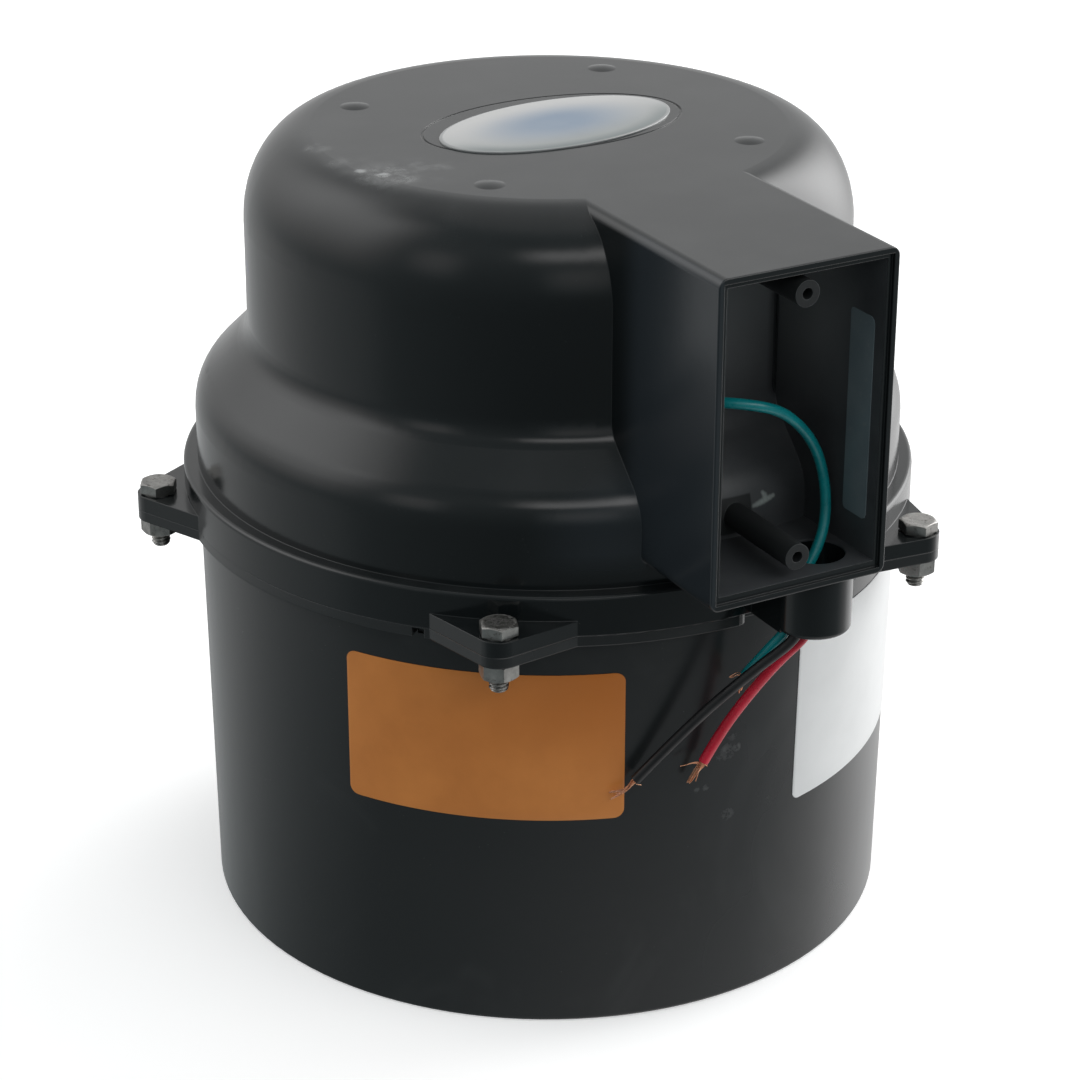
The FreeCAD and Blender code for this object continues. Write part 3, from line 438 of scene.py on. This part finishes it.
TOP_MARKS = [
    ((-0.0690, -0.0225, 0.268), 0.0300, 0.10, 120.0, 0.40, 0.72),
    ((-0.0692, -0.0228, 0.268), 0.0160, 0.36, 170.0, 0.36, 0.68),
    ((-0.0757, -0.0161, 0.268), 0.0030, 0.70, 260.0, 0.36, 0.60),
    ((-0.0715, -0.0230, 0.268), 0.0036, 0.95, 260.0, 0.34, 0.56),
    ((-0.0670, -0.0300, 0.268), 0.0070, 0.30, 240.0, 0.40, 0.64),
    ((-0.0780, -0.0045, 0.268), 0.0075, 0.16, 210.0, 0.42, 0.66),
    ((-0.0775, 0.0118, 0.268), 0.0070, 0.22, 210.0, 0.42, 0.66),
    ((-0.0580, -0.0205, 0.268), 0.0080, 0.20, 190.0, 0.40, 0.66),
    ((-0.0530, -0.0245, 0.268), 0.0075, 0.16, 190.0, 0.40, 0.66),
    ((0.0262, -0.0963, 0.1690), 0.0030, 0.30, 320.0, 0.42, 0.54),
    ((0.0205, -0.0978, 0.1690), 0.0022, 0.22, 320.0, 0.40, 0.54),
]
BOX_MARKS = [((0.0068, -0.1172, 0.1765), 0.0012), ((0.0080, -0.1172, 0.1767), 0.0014), ((0.0093, -0.1172, 0.1770), 0.0015),
             ((0.0106, -0.1171, 0.1773), 0.0016), ((0.0119, -0.1170, 0.1776), 0.0015), ((0.0132, -0.1169, 0.1778), 0.0013),
             ((0.0144, -0.1167, 0.1781), 0.0010), ((0.0112, -0.1171, 0.1790), 0.0014), ((0.0106, -0.1171, 0.1800), 0.0011)]
INK_MARKS = [((-0.0950, 0.0300, 0.2265), 0.0018), ((-0.0961, 0.0275, 0.2250), 0.0012)]
WALL_MARKS = [
    ((0.0001, -0.1173, 0.0922), 0.0040, 0.20, 420.0, 0.44, 0.64),
    ((0.0038, -0.1172, 0.0930), 0.0020, 0.26, 700.0, 0.42, 0.58),
    ((-0.0018, -0.1173, 0.0909), 0.0028, 0.14, 700.0, 0.46, 0.62),
    ((0.0018, -0.1173, 0.0975), 0.0026, 0.10, 420.0, 0.44, 0.62),
    ((0.0012, -0.1173, 0.0690), 0.0034, 0.14, 600.0, 0.42, 0.60),
    ((-0.0073, -0.1171, 0.0810), 0.0017, 0.14, 600.0, 0.40, 0.58),
    ((-0.0105, -0.1168, 0.0810), 0.0015, 0.12, 600.0, 0.40, 0.58),
    ((0.0176, -0.1160, 0.0690), 0.0026, 0.07, 600.0, 0.46, 0.62),
]

M = {
    "housing": housing_plastic("black_moulded_plastic", (0.0076, 0.0098, 0.0106), (0.0104, 0.0130, 0.0140),
                               0.15, 0.20, 0.042, TOP_MARKS, INK_MARKS, box=True),
    "canister": housing_plastic("black_moulded_canister", (0.0150, 0.0168, 0.0176), (0.0186, 0.0204, 0.0214),
                                0.22, 0.30, 0.030, WALL_MARKS, smudge_and_reflection=0.022),
    "inner": inner_plastic(),
    "badge": badge_resin(),
    # the orange label's last colour is the painted shade for its upper right corner
    "orange": label_film("orange_film", (0.68, 0.232, 0.048), (0.79, 0.282, 0.062), 0.30, 0.42, 0.12, (0.50, 0.20, 0.05), (0.56, 0.160, 0.016)),
    "white": label_film("white_film", (0.80, 0.805, 0.805), (0.86, 0.865, 0.865), 0.32, 0.45, 0.06, (0.58, 0.57, 0.55)),
    "clear": clear_label(),
    "rubber": rubber(),
    "green": insulation("green_insulation", (0.002, 0.210, 0.230), (0.004, 0.310, 0.330), pale=(0.10, 0.40, 0.42)),
    "black": insulation("black_insulation", (0.004, 0.004, 0.005), (0.009, 0.009, 0.010), 0.40, 0.52, (0.04, 0.04, 0.04)),
    "red": insulation("red_insulation", (0.60, 0.012, 0.036), (0.76, 0.020, 0.054), pale=(0.80, 0.24, 0.28), dirt=0.06),
    "strands": metal("bare_copper", (0.70, 0.30, 0.16), (0.90, 0.52, 0.34), 0.22, 0.36, (0.20, 0.08, 0.04), 0.3, 1.0, 0),
    "bolt": metal("plated_bolt", (0.27, 0.265, 0.255), (0.46, 0.45, 0.43), 0.26, 0.42, (0.08, 0.068, 0.056), 0.65, speckle_and_painted_reflection=True),
    "pressed": turned_metal("pressed_steel", (0.38, 0.38, 0.37), (0.56, 0.56, 0.55), 0.30, 0.42),
    "spring": metal("spring_wire", (0.25, 0.25, 0.26), (0.42, 0.42, 0.44), 0.25, 0.35, spot_amount=0.15, bevel=0),
    "bearing": turned_metal("ground_steel", (0.52, 0.52, 0.53), (0.70, 0.70, 0.71), 0.14, 0.24),
    "lamination": laminations(),
    "aluminium": turned_metal("pressed_aluminium", (0.62, 0.63, 0.64), (0.78, 0.78, 0.79), 0.28, 0.40),
    "cast": metal("cast_aluminium", (0.40, 0.40, 0.40), (0.56, 0.56, 0.56), 0.42, 0.58, (0.16, 0.15, 0.14), 0.35, 0.6, 0.0004),
    "winding": wound_copper(),
    "commutator": turned_metal("commutator_copper", (0.48, 0.20, 0.10), (0.66, 0.32, 0.18), 0.22, 0.34),
    "brass": metal("brass", (0.50, 0.34, 0.12), (0.66, 0.47, 0.19), 0.25, 0.36, (0.20, 0.12, 0.05), 0.3),
    "carbon": carbon(),
    "foam": foam(),
}
BY_NODE = {
    "upper_housing": "housing", "lower_housing": "canister", "housing_gasket": "rubber",
    "flange_bolts": "bolt", "flange_nuts": "bolt", "top_badge": "badge", "front_label": "orange",
    "side_label": "white", "box_label": "clear", "lead_grommet": "rubber", "wall_grommet": "rubber",
    "duct_grommet": "rubber", "green_lead": "green", "black_lead": "black", "red_lead": "red",
    "green_strands": "strands", "black_strands": "strands", "red_strands": "strands",
    "black_inner_lead": "black", "red_inner_lead": "red", "green_inner_lead": "green",
    "black_brush_lead": "black", "red_brush_lead": "red", "intake_grille": "inner",
    "grille_screws": "bolt", "outlet_duct": "inner", "duct_screws": "bolt", "duct_seal": "rubber",
    "intake_foam": "foam", "dome_foam": "foam", "lower_motor_mount": "rubber",
    "upper_motor_mount": "rubber", "clamp_ring": "pressed", "clamp_studs": "bolt", "clamp_nuts": "bolt",
    "fan_shell": "pressed", "ground_screw": "bolt", "fan_diffuser": "aluminium",
    "fan_end_bracket": "cast", "field_core": "lamination", "field_coils": "winding",
    "brush_end_bracket": "cast", "motor_bolts": "bolt", "brush_holders": "brass",
    "brush_spring_right": "spring", "brush_spring_left": "spring", "brush_right": "carbon",
    "brush_left": "carbon", "fan_end_bearing": "bearing", "brush_end_bearing": "bearing",
    "shaft": "bearing", "bearing_inner_races": "bearing", "armature_core": "lamination",
    "armature_windings": "winding", "commutator": "commutator", "lower_impeller": "aluminium",
    "upper_impeller": "aluminium", "shaft_spacers": "aluminium", "shaft_nut": "bolt",
}
for node, key in BY_NODE.items():
    o = NODES[node]
    if not o.material_slots:
        o.data.materials.append(M[key])
    for s in o.material_slots:
        s.material = M[key]


# ----------------------------------------------------------------- helpers
def link(o):
    bpy.context.scene.collection.objects.link(o)
    return o


def mesh_object(name, verts, faces, material, body=BODY, smooth=True, auto=None):
    me = bpy.data.meshes.new(name)
    me.from_pydata([tuple(v) for v in verts], [], faces)
    me.validate()
    me.materials.append(material)
    for p in me.polygons:
        p.use_smooth = smooth
    if auto is not None:
        me.set_sharp_from_angle(angle=math.radians(auto))
    o = link(bpy.data.objects.new(name, me))
    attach(o, body)
    return o


def nurbs(name, routes, radius, material, body=BODY, order=3, resolution=10):
    cu = bpy.data.curves.new(name, "CURVE")
    cu.dimensions = "3D"
    cu.bevel_depth = radius
    cu.bevel_resolution = 5
    cu.use_fill_caps = True
    cu.resolution_u = resolution
    for pts in routes:
        sp = cu.splines.new("NURBS")
        sp.points.add(len(pts) - 1)
        for p, q in zip(sp.points, pts):
            p.co = (q[0], q[1], q[2], 1.0)
        sp.order_u = order
        sp.use_endpoint_u = True
    cu.materials.append(material)
    o = link(bpy.data.objects.new(name, cu))
    if body:
        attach(o, body)
    return o


def mm(points):
    return [tuple(c * MM for c in p) for p in points]


# ------------------------------------------------------------------- leads
GREEN_ROUTE = mm([(-17.0, -103.0, 216.0), (-17.0, -118.0, 216.0), (-5.5, -130.8, 217.4),
                  (9.0, -131.0, 212.0), (20.8, -130.5, 198.5), (24.4, -131.6, 181.5),
                  (20.3, -136.0, 169.5), (9.3, -138.3, 156.0), (9.6, -136.3, 142.5),
                  (3.9, -131.6, 133.0), (0.3, -126.0, 123.6)])
BLACK_ROUTE = mm([(13.2, -129.5, 150.0), (13.2, -139.0, 150.0), (9.6, -141.2, 141.0),
                  (-1.0, -134.3, 129.9), (-18.2, -124.5, 110.7), (-33.3, -116.6, 90.6)])
RED_ROUTE = mm([(16.8, -129.5, 150.0), (16.8, -137.5, 150.0), (15.8, -138.8, 140.4),
                (6.2, -134.6, 130.4), (-2.2, -126.9, 113.4), (-7.4, -123.0, 102.0),
                (-11.2, -121.2, 93.6)])
BLACK_INNER = mm([(12.7, -114.0, 150.0), (12.7, -103.0, 150.0), (7.5, -93.0, 139.0),
                  (-1.5, -89.0, 127.5), (-4.0, -82.5, 120.0), (-4.0, -73.0, 120.0)])
RED_INNER = mm([(16.6, -114.0, 150.0), (16.6, -103.0, 150.0), (14.0, -92.5, 139.0),
                (7.5, -88.5, 127.5), (4.0, -82.5, 120.0), (4.0, -73.0, 120.0)])
BLACK_BRUSH = mm([(-4.0, -63.5, 120.0), (-4.0, -54.0, 120.0), (-13.0, -52.5, 108.0),
                  (-31.0, -47.5, 93.0), (-48.0, -33.0, 83.0), (-56.0, -15.0, 78.5),
                  (-48.0, 0.0, 77.0)])
RED_BRUSH = mm([(4.0, -63.5, 120.0), (4.0, -54.0, 120.0), (13.0, -52.5, 108.0),
                (31.0, -47.5, 93.0), (48.0, -33.0, 83.0), (56.0, -15.0, 78.5),
                (48.0, 0.0, 77.0)])
GREEN_INNER = mm([(-17.0, -94.0, 216.0), (-17.0, -86.5, 216.0), (-17.0, -83.0, 204.0),
                  (-17.0, -82.2, 192.5), (-17.0, -74.6, 184.2)])


def strand_bundle(name, route, fans, material, node, seed, r=0.00013):
    """Fine wires of a stripped end; each fan is (via, end, count, width at the root, width at the tip)."""
    rnd = random.Random(seed)
    root = Vector(route[-1])
    d = (root - Vector(route[-2])).normalized()
    routes = []
    for via, end, count, w0, w1 in fans:
        via, end = Vector(via), Vector(end)
        along = (end - root).normalized()
        side = along.cross(Vector((0, 0, 1))).normalized()
        lift = side.cross(along).normalized()
        for i in range(count):
            a = rnd.uniform(0, 2 * math.pi)
            k = math.sqrt(rnd.uniform(0.02, 1))
            pts = []
            for base, w, turn in ((root - d * 0.0014, w0 * 0.9, 0.0), (root + d * 0.0009, w0, 0.35),
                                  (via, (w0 + w1) / 2, 1.0), (via.lerp(end, 0.6), w1 * 1.25, 1.5), (end, w1, 1.9)):
                b = a + turn
                pts.append(base + side * (w * k * math.cos(b)) + lift * (w * k * math.sin(b)))
            pts[-1] = pts[-1] + along * rnd.uniform(-0.0010, 0.0004)
            routes.append([tuple(q) for q in pts])
    wires = nurbs(name + "_route", routes, r, material, body=None, resolution=5)
    wires.data.bevel_resolution = 2
    me = bpy.data.meshes.new_from_object(wires)
    me.name = name
    bpy.data.objects.remove(wires, do_unlink=True)
    for q in me.polygons:
        q.use_smooth = True
    o = link(bpy.data.objects.new(name, me))
    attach(o, BODY)
    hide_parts(node)
    return o


green_fans = [(mm([(-1.8, -125.0, 124.2)])[0], mm([(-4.2, -124.5, 123.0)])[0], 5, 0.0007, 0.0004),
              (mm([(0.1, -125.0, 120.4)])[0], mm([(0.1, -123.7, 116.6)])[0], 11, 0.0011, 0.0007)]
black_fans = [(mm([(-35.0, -114.9, 87.1)])[0], mm([(-39.3, -112.2, 83.3)])[0], 8, 0.0010, 0.0003),
              (mm([(-35.6, -114.8, 86.7)])[0], mm([(-40.0, -112.0, 85.8)])[0], 7, 0.0010, 0.0002),
              (mm([(-35.4, -114.8, 86.8)])[0], mm([(-38.0, -112.9, 84.8)])[0], 4, 0.0009, 0.0002),
              (mm([(-32.6, -116.8, 88.9)])[0], mm([(-31.5, -116.9, 88.6)])[0], 1, 0.0009, 0.0001)]
red_fans = [(mm([(-12.7, -120.5, 91.0)])[0], mm([(-15.2, -119.2, 86.3)])[0], 17, 0.0012, 0.0006),
            (mm([(-12.3, -120.6, 91.1)])[0], mm([(-14.2, -119.7, 87.3)])[0], 6, 0.0012, 0.0004),
            (mm([(-14.2, -120.6, 93.7)])[0], mm([(-18.2, -119.2, 92.9)])[0], 4, 0.0008, 0.0002),
            (mm([(-12.4, -120.8, 90.4)])[0], mm([(-13.5, -120.6, 87.0)])[0], 2, 0.0010, 0.0001),
            (mm([(-10.9, -121.2, 92.9)])[0], mm([(-10.1, -121.4, 92.0)])[0], 3, 0.0010, 0.0003)]
green_st = strand_bundle("green_lead_copper", GREEN_ROUTE, green_fans, M["strands"], "green_strands", 5)
black_st = strand_bundle("black_lead_copper", BLACK_ROUTE, black_fans, M["strands"], "black_strands", 8)
red_st = strand_bundle("red_lead_copper", RED_ROUTE, red_fans, M["strands"], "red_strands", 11)

for name, route, r, key, node, length, far, extra in (
        ("green_supply_lead", GREEN_ROUTE, 0.0017, "green", "green_lead", 0.1476, "bare", [green_st]),
        ("black_supply_lead", BLACK_ROUTE, 0.0017, "black", "black_lead", 0.0884, "bare", [black_st]),
        ("red_supply_lead", RED_ROUTE, 0.0017, "red", "red_lead", 0.0734, "bare", [red_st]),
        ("black_motor_lead", BLACK_INNER, 0.0015, "black", "black_inner_lead", 0.0600, "object", []),
        ("red_motor_lead", RED_INNER, 0.0015, "red", "red_inner_lead", 0.0584, "object", []),
        ("green_motor_lead", GREEN_INNER, 0.0015, "green", "green_inner_lead", 0.0414, "object", []),
        ("black_holder_lead", BLACK_BRUSH, 0.0015, "black", "black_brush_lead", 0.1069, "object", []),
        ("red_holder_lead", RED_BRUSH, 0.0015, "red", "red_brush_lead", 0.1069, "object", [])):
    o = nurbs(name, [route], r, M[key])
    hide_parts(node)


# ---------------------------------------------------------- bolts and nuts
def hex_r(af, ang):
    a = (ang + math.pi / 6) % (math.pi / 3) - math.pi / 6
    return af / 2 / math.cos(a)


def hex_prism(af, z0, z1, turn, top_chamfer, bottom_chamfer, bore=0.0, dish=0.0, seg=12):
    """Vertices and faces of a hexagon with turned chamfers; radii in metres."""
    verts, faces, rings = [], [], []
    n = 6 * seg
    rc = af / 2 * 0.95
    k = 0.55

    def ring(fn):
        start = len(verts)
        for i in range(n):
            ang = 2 * math.pi * i / n + turn
            r, z = fn(2 * math.pi * i / n)
            verts.append((r * math.cos(ang), r * math.sin(ang), z))
        rings.append(start)

    if bore:
        ring(lambda a: (bore, z0 + 0.0002))
        ring(lambda a: (bore, z1 - 0.0002))
        ring(lambda a: (bore + 0.0004, z1))
    else:
        ring(lambda a: (rc * 0.02, z1 - dish))
        ring(lambda a: (rc * 0.55, z1 - dish * 0.9))
        ring(lambda a: (rc * 0.80, z1 - dish * 0.25))
    ring(lambda a: (rc * 0.97, z1))
    if top_chamfer:
        ring(lambda a: (rc, z1 - 0.00003))
        ring(lambda a: (hex_r(af, a), z1 - 0.00003 - (hex_r(af, a) - rc) * k))
    else:
        ring(lambda a: (hex_r(af, a), z1))
    if bottom_chamfer:
        ring(lambda a: (hex_r(af, a), z0 + 0.00003 + (hex_r(af, a) - rc) * k))
        ring(lambda a: (rc, z0))
    else:
        ring(lambda a: (hex_r(af, a), z0))
    if bore:
        ring(lambda a: (bore + 0.0004, z0))
    for a, b in zip(rings, rings[1:]):
        for i in range(n):
            j = (i + 1) % n
            faces.append((a + i, b + i, b + j, a + j))
    if bore:
        a, b = rings[-1], rings[0]
        for i in range(n):
            j = (i + 1) % n
            faces.append((a + i, b + i, b + j, a + j))
    else:
        faces.append(tuple(rings[0] + i for i in range(n)))
        faces.append(tuple(rings[-1] + i for i in reversed(range(n))))
    return verts, faces


def thread(r, depth, pitch, z0, z1, seg=40, steps_per_pitch=10, point=0.0009):
    verts, faces = [], []
    rows = max(2, int((z1 - z0) / pitch * steps_per_pitch))
    for j in range(rows + 1):
        z = z0 + (z1 - z0) * j / rows
        for i in range(seg):
            ph = (z / pitch - i / seg) % 1.0
            tri = abs(2 * ph - 1)
            rr = r - depth * (1 - min(1.0, tri * 1.25))
            fade = min(1.0, (z - z0) / point) if point else 1.0
            rr = min(rr, r - depth * 1.1 + depth * 1.1 * fade)
            ang = 2 * math.pi * i / seg
            verts.append((rr * math.cos(ang), rr * math.sin(ang), z))
    for j in range(rows):
        for i in range(seg):
            k = (i + 1) % seg
            faces.append((j * seg + i, j * seg + k, (j + 1) * seg + k, (j + 1) * seg + i))
    faces.append(tuple(reversed(range(seg))))
    faces.append(tuple(rows * seg + i for i in range(seg)))
    return verts, faces


def join(parts, x, y):
    verts, faces = [], []
    for v, f in parts:
        base = len(verts)
        verts += [(a + x, b + y, c) for a, b, c in v]
        faces += [tuple(base + i for i in q) for q in f]
    return verts, faces


for k in range(5):
    az = math.radians((36.5, 108.3, 180.1, 251.6, 324.4)[k])
    x, y = 0.1318 * math.sin(az), -0.1318 * math.cos(az)
    twist = math.radians((-12.0, -20.0, 7.0, 29.0, -20.4)[k])
    nut_twist = math.radians((-25.0, -31.0, 23.0, 5.5, -14.3)[k])
    head = hex_prism(0.01111, 0.1484, 0.1520, twist, True, False, dish=0.00018)
    n = 72
    washer_v, washer_f = [], []
    for z, r in ((0.1480, 0.0050), (0.1480, 0.00535), (0.1484, 0.00535), (0.1484, 0.0050)):
        for i in range(n):
            washer_v.append((r * math.cos(2 * math.pi * i / n), r * math.sin(2 * math.pi * i / n), z))
    for a in range(3):
        for i in range(n):
            j = (i + 1) % n
            washer_f.append((a * n + i, a * n + j, (a + 1) * n + j, (a + 1) * n + i))
    shank = thread(0.0031, 0.0007, 0.00127, 0.12895, 0.1485)
    v, f = join([head, (washer_v, washer_f), shank], x, y)
    b = mesh_object("hex_bolt_%d" % (k + 1), v, f, M["bolt"], auto=28)
    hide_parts("flange_bolts")
    v, f = join([hex_prism(0.01111, 0.1393 - 0.00556, 0.1393, nut_twist, True, True, bore=0.00312)], x, y)
    b = mesh_object("hex_nut_%d" % (k + 1), v, f, M["bolt"], auto=28)
    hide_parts("flange_nuts")


# ------------------------------------------------------------------ labels
def can_r(z):
    return 0.1162 + 0.012 * z


def wall_label(name, mid, half, z0, z1, corner, material, node):
    """A thin film wrapped on the tapered wall, with rounded corners."""
    w = 0.117 * math.sin(math.radians(half))
    nx, nz = 72, 36
    us = []
    for i in range(nx + 1):
        t = i / nx
        us.append(-w * math.cos(math.pi * t) if t in (0, 1) else -w + 2 * w * (0.5 - 0.5 * math.cos(math.pi * t)))
    verts, faces = [], []
    for layer, off in ((0, 0.00026), (1, 0.00002)):
        for u in us:
            d = w - abs(u)
            cut = corner - math.sqrt(max(0.0, corner ** 2 - (corner - d) ** 2)) if d < corner else 0.0
            for j in range(nz + 1):
                z = (z0 + cut) + (z1 - z0 - 2 * cut) * j / nz
                r = can_r(z) + off
                if layer == 0:
                    edge = min(d, z - z0, z1 - z)
                    r -= 0.00010 * max(0.0, 1 - edge / 0.0004)
                ang = math.asin(u / r) + math.radians(mid)
                verts.append((r * math.sin(ang), -r * math.cos(ang), z))
    per = (nx + 1) * (nz + 1)
    for i in range(nx):
        for j in range(nz):
            a = i * (nz + 1) + j
            b = a + nz + 1
            faces.append((a, b, b + 1, a + 1))
            faces.append((per + a, per + a + 1, per + b + 1, per + b))
    border = [i * (nz + 1) for i in range(nx + 1)]
    border += [nx * (nz + 1) + j for j in range(1, nz + 1)]
    border += [i * (nz + 1) + nz for i in range(nx - 1, -1, -1)]
    border += [j for j in range(nz - 1, 0, -1)]
    for a, b in zip(border, border[1:] + border[:1]):
        faces.append((a, per + a, per + b, b))
    o = mesh_object(name, verts, faces, material, auto=50)
    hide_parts(node)
    return o


wall_label("orange_wall_label", -39.4, 22.3, 0.0754, 0.1270, 0.0032, M["orange"], "front_label")
wall_label("white_wall_label", 40.8, 26.9, 0.0654, 0.128, 0.0027, M["white"], "side_label")

# the oval badge: a flat rim and a low dome of resin
verts, faces = [], []
n = 128
prof = [(1.0, 0.0), (1.0, 0.00035), (0.995, 0.00048), (0.975, 0.00055), (0.955, 0.00060), (0.93, 0.00066),
        (0.85, 0.00072), (0.7, 0.00076), (0.5, 0.00079), (0.25, 0.00080), (0.02, 0.00080)]
for t, h in prof:
    inset = (1 - t) * 0.0238
    for i in range(n):
        a = 2 * math.pi * i / n
        u = (0.0428 - inset if t > 0.9 else 0.0428 * t) * math.cos(a)
        w = (0.0238 - inset if t > 0.9 else 0.0238 * t) * math.sin(a)
        verts.append((0.0014 + u * math.cos(BADGE_TURN) - w * math.sin(BADGE_TURN),
                      -0.0024 + u * math.sin(BADGE_TURN) + w * math.cos(BADGE_TURN), 0.268 + h))
for r in range(len(prof) - 1):
    for i in range(n):
        j = (i + 1) % n
        faces.append((r * n + i, r * n + j, (r + 1) * n + j, (r + 1) * n + i))
faces.append(tuple((len(prof) - 1) * n + i for i in range(n)))
badge = mesh_object("oval_badge", verts, faces, M["badge"], auto=40)
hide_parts("top_badge")


# ----------------------------------------------------------- brush springs
def spring(name, x0, x1, sign, node):
    turns, seg, ring = 7.5, 26, 8
    total = int(turns * seg)
    verts, faces = [], []
    R, r = 0.00245, 0.00035
    for i in range(total + 1):
        t = i / total
        a = 2 * math.pi * turns * t
        # closed ends
        s = min(1.0, max(0.0, (t - 0.09) / 0.82))
        x = x0 + r + (x1 - x0 - 2 * r) * s
        c = Vector((x, R * math.cos(a), 0.077 + R * math.sin(a)))
        tangent = Vector((0.0003, -math.sin(a), math.cos(a))).normalized()
        rad = Vector((0, math.cos(a), math.sin(a)))
        bn = tangent.cross(rad).normalized()
        for j in range(ring):
            b = 2 * math.pi * j / ring
            p = c + rad * (r * math.cos(b)) + bn * (r * math.sin(b))
            verts.append((p.x * sign, p.y * sign, p.z))
    for i in range(total):
        for j in range(ring):
            k = (j + 1) % ring
            faces.append((i * ring + j, i * ring + k, (i + 1) * ring + k, (i + 1) * ring + j))
    faces.append(tuple(reversed(range(ring))))
    faces.append(tuple(total * ring + j for j in range(ring)))
    o = mesh_object(name, verts, faces, M["spring"])
    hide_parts(node)
    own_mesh(o)
    return o


spring("right_brush_spring", 0.0309, 0.0457, 1, "brush_spring_right")
spring("left_brush_spring", 0.0309, 0.0457, -1, "brush_spring_left")


# ------------------------------------------------------ floor, world, light
me = bpy.data.meshes.new("floor")
S = 6.0
me.from_pydata([(-S, -S, 0), (S, -S, 0), (S, S, 0), (-S, S, 0)], [], [(0, 1, 2, 3)])
n = Net("pale_floor")
tone = n.mix(n.span(n.noise(3.0, 3.0), 0.3, 0.7), (0.93, 0.93, 0.93), (0.95, 0.95, 0.95))
n.set(Base_Color=tone, Roughness=0.85, Emission_Color=(1.0, 1.0, 1.0), Emission_Strength=0.34)
me.materials.append(n.mat)
floor = link(bpy.data.objects.new("floor", me))
floor.visible_glossy = False
floor.visible_diffuse = False

world = bpy.data.worlds.new("studio")
bpy.context.scene.world = world


class Sky(Net):
    """The studio: broad light behind, soft boxes to the left, right and front right."""

    def __init__(self, w):
        w.use_nodes = True
        self.t = w.node_tree
        self.t.nodes.clear()
        self.out = self.add("ShaderNodeOutputWorld")
        self.bg = self.add("ShaderNodeBackground")
        self.link(self.bg.outputs[0], self.out.inputs["Surface"])
        self.coord = self.add("ShaderNodeTexCoord")
        self.obj = self.coord.outputs["Generated"]

    def dot(self, v):
        n = self.add("ShaderNodeVectorMath", operation="DOT_PRODUCT")
        self.link(self.obj, n.inputs[0])
        n.inputs[1].default_value = v
        return n.outputs["Value"]

    def up(self, x, a, b):
        return self.span(x, a, b, 0.0, 1.0, smooth=True)

    def down(self, x, a, b):
        return self.span(x, a, b, 1.0, 0.0, smooth=True)

    def product(self, first, *rest):
        for r in rest:
            first = self.math("MULTIPLY", first, r)
        return first


sky = Sky(world)
away = sky.dot((0.4866, 0.8736, 0.0))
side = sky.dot((0.8736, -0.4866, 0.0))
rise = sky.dot((0.0, 0.0, 1.0))
el = sky.math("MULTIPLY", sky.math("ARCSINE", rise), 57.29578)
behind = sky.math("MULTIPLY", sky.math("ARCTAN2", side, away), 57.29578)
ahead = sky.math("MULTIPLY", sky.math("ARCTAN2", side, sky.math("MULTIPLY", away, -1.0)), 57.29578)
tilt = sky.math("ADD", sky.math("MULTIPLY", away, 0.866), sky.math("MULTIPLY", rise, 0.5))
base = sky.math("ADD", sky.math("MULTIPLY", tilt, 0.30), 0.42)
ground = sky.math("ADD", sky.math("MULTIPLY", sky.up(ahead, -90.0, 80.0), 0.70), 0.20)
steep = sky.down(el, -37.0, -28.0)
light = sky.math("ADD", sky.math("MULTIPLY", base, sky.math("SUBTRACT", 1.0, steep)), sky.math("MULTIPLY", ground, steep))
left_box = sky.product(sky.down(behind, -70.0, -24.0), sky.up(behind, -126.0, -97.0), sky.up(el, -10.0, 42.0), sky.down(el, 42.0, 64.0), 1.44)
left_low = sky.product(sky.up(ahead, -150.0, -115.0), sky.down(ahead, -75.0, -58.0), sky.up(el, -35.0, -26.0), sky.down(el, -14.0, -4.0), 0.12)
right_box = sky.product(sky.down(behind, 62.0, 82.0), sky.up(behind, 15.0, 52.0), sky.up(el, -40.0, 24.0), sky.down(el, 38.0, 62.0), 4.4)
strip = sky.product(sky.up(ahead, -17.0, 1.0), sky.down(ahead, 34.0, 60.0), sky.up(el, 28.0, 38.0), sky.down(el, 38.0, 48.0), 1.80)
strip_low = sky.product(sky.up(ahead, -6.0, 6.0), sky.down(ahead, 16.0, 30.0), sky.up(el, -6.0, 14.0), sky.down(el, 16.0, 30.0), 0.38)
strip_left = sky.product(sky.up(ahead, -58.0, -46.0), sky.down(ahead, -40.0, -30.0), sky.up(el, 2.0, 20.0), sky.down(el, 24.0, 38.0), 0.45)
side_box = sky.product(sky.up(ahead, 14.0, 56.0), sky.down(ahead, 88.0, 108.0), sky.up(el, 16.0, 33.0), sky.down(el, 40.0, 54.0), 2.1)
dim = sky.product(sky.down(sky.math("ABSOLUTE", ahead), 70.0, 115.0), sky.up(el, 36.0, 55.0), sky.down(el, 58.0, 74.0), -0.12)
zenith = sky.product(sky.up(el, 60.0, 76.0), 0.06)
low_right = sky.product(sky.up(ahead, 66.0, 104.0), sky.down(ahead, 164.0, 180.0), sky.down(el, -30.0, -5.0), sky.math("SUBTRACT", 1.0, steep), 0.42)
for lobe in (left_box, left_low, right_box, strip, strip_low, strip_left, side_box, dim, zenith, low_right):
    light = sky.math("ADD", light, lobe)
tint = sky.mix(sky.up(light, 0.15, 0.75), (0.84, 0.97, 1.0, 1.0), (1.0, 1.0, 1.0, 1.0))
path = sky.add("ShaderNodeLightPath")
seen = path.outputs["Is Camera Ray"]
sky.link(sky.mix(seen, tint, (1.0, 1.0, 1.0, 1.0)), sky.bg.inputs["Color"])
one = sky.math("MULTIPLY", seen, 1.0)
rest = sky.math("MULTIPLY", light, sky.math("SUBTRACT", 1.0, seen))
sky.link(sky.math("ADD", one, rest), sky.bg.inputs["Strength"])

bpy.context.scene.view_settings.view_transform = "Standard"
bpy.context.scene.view_settings.look = "None"
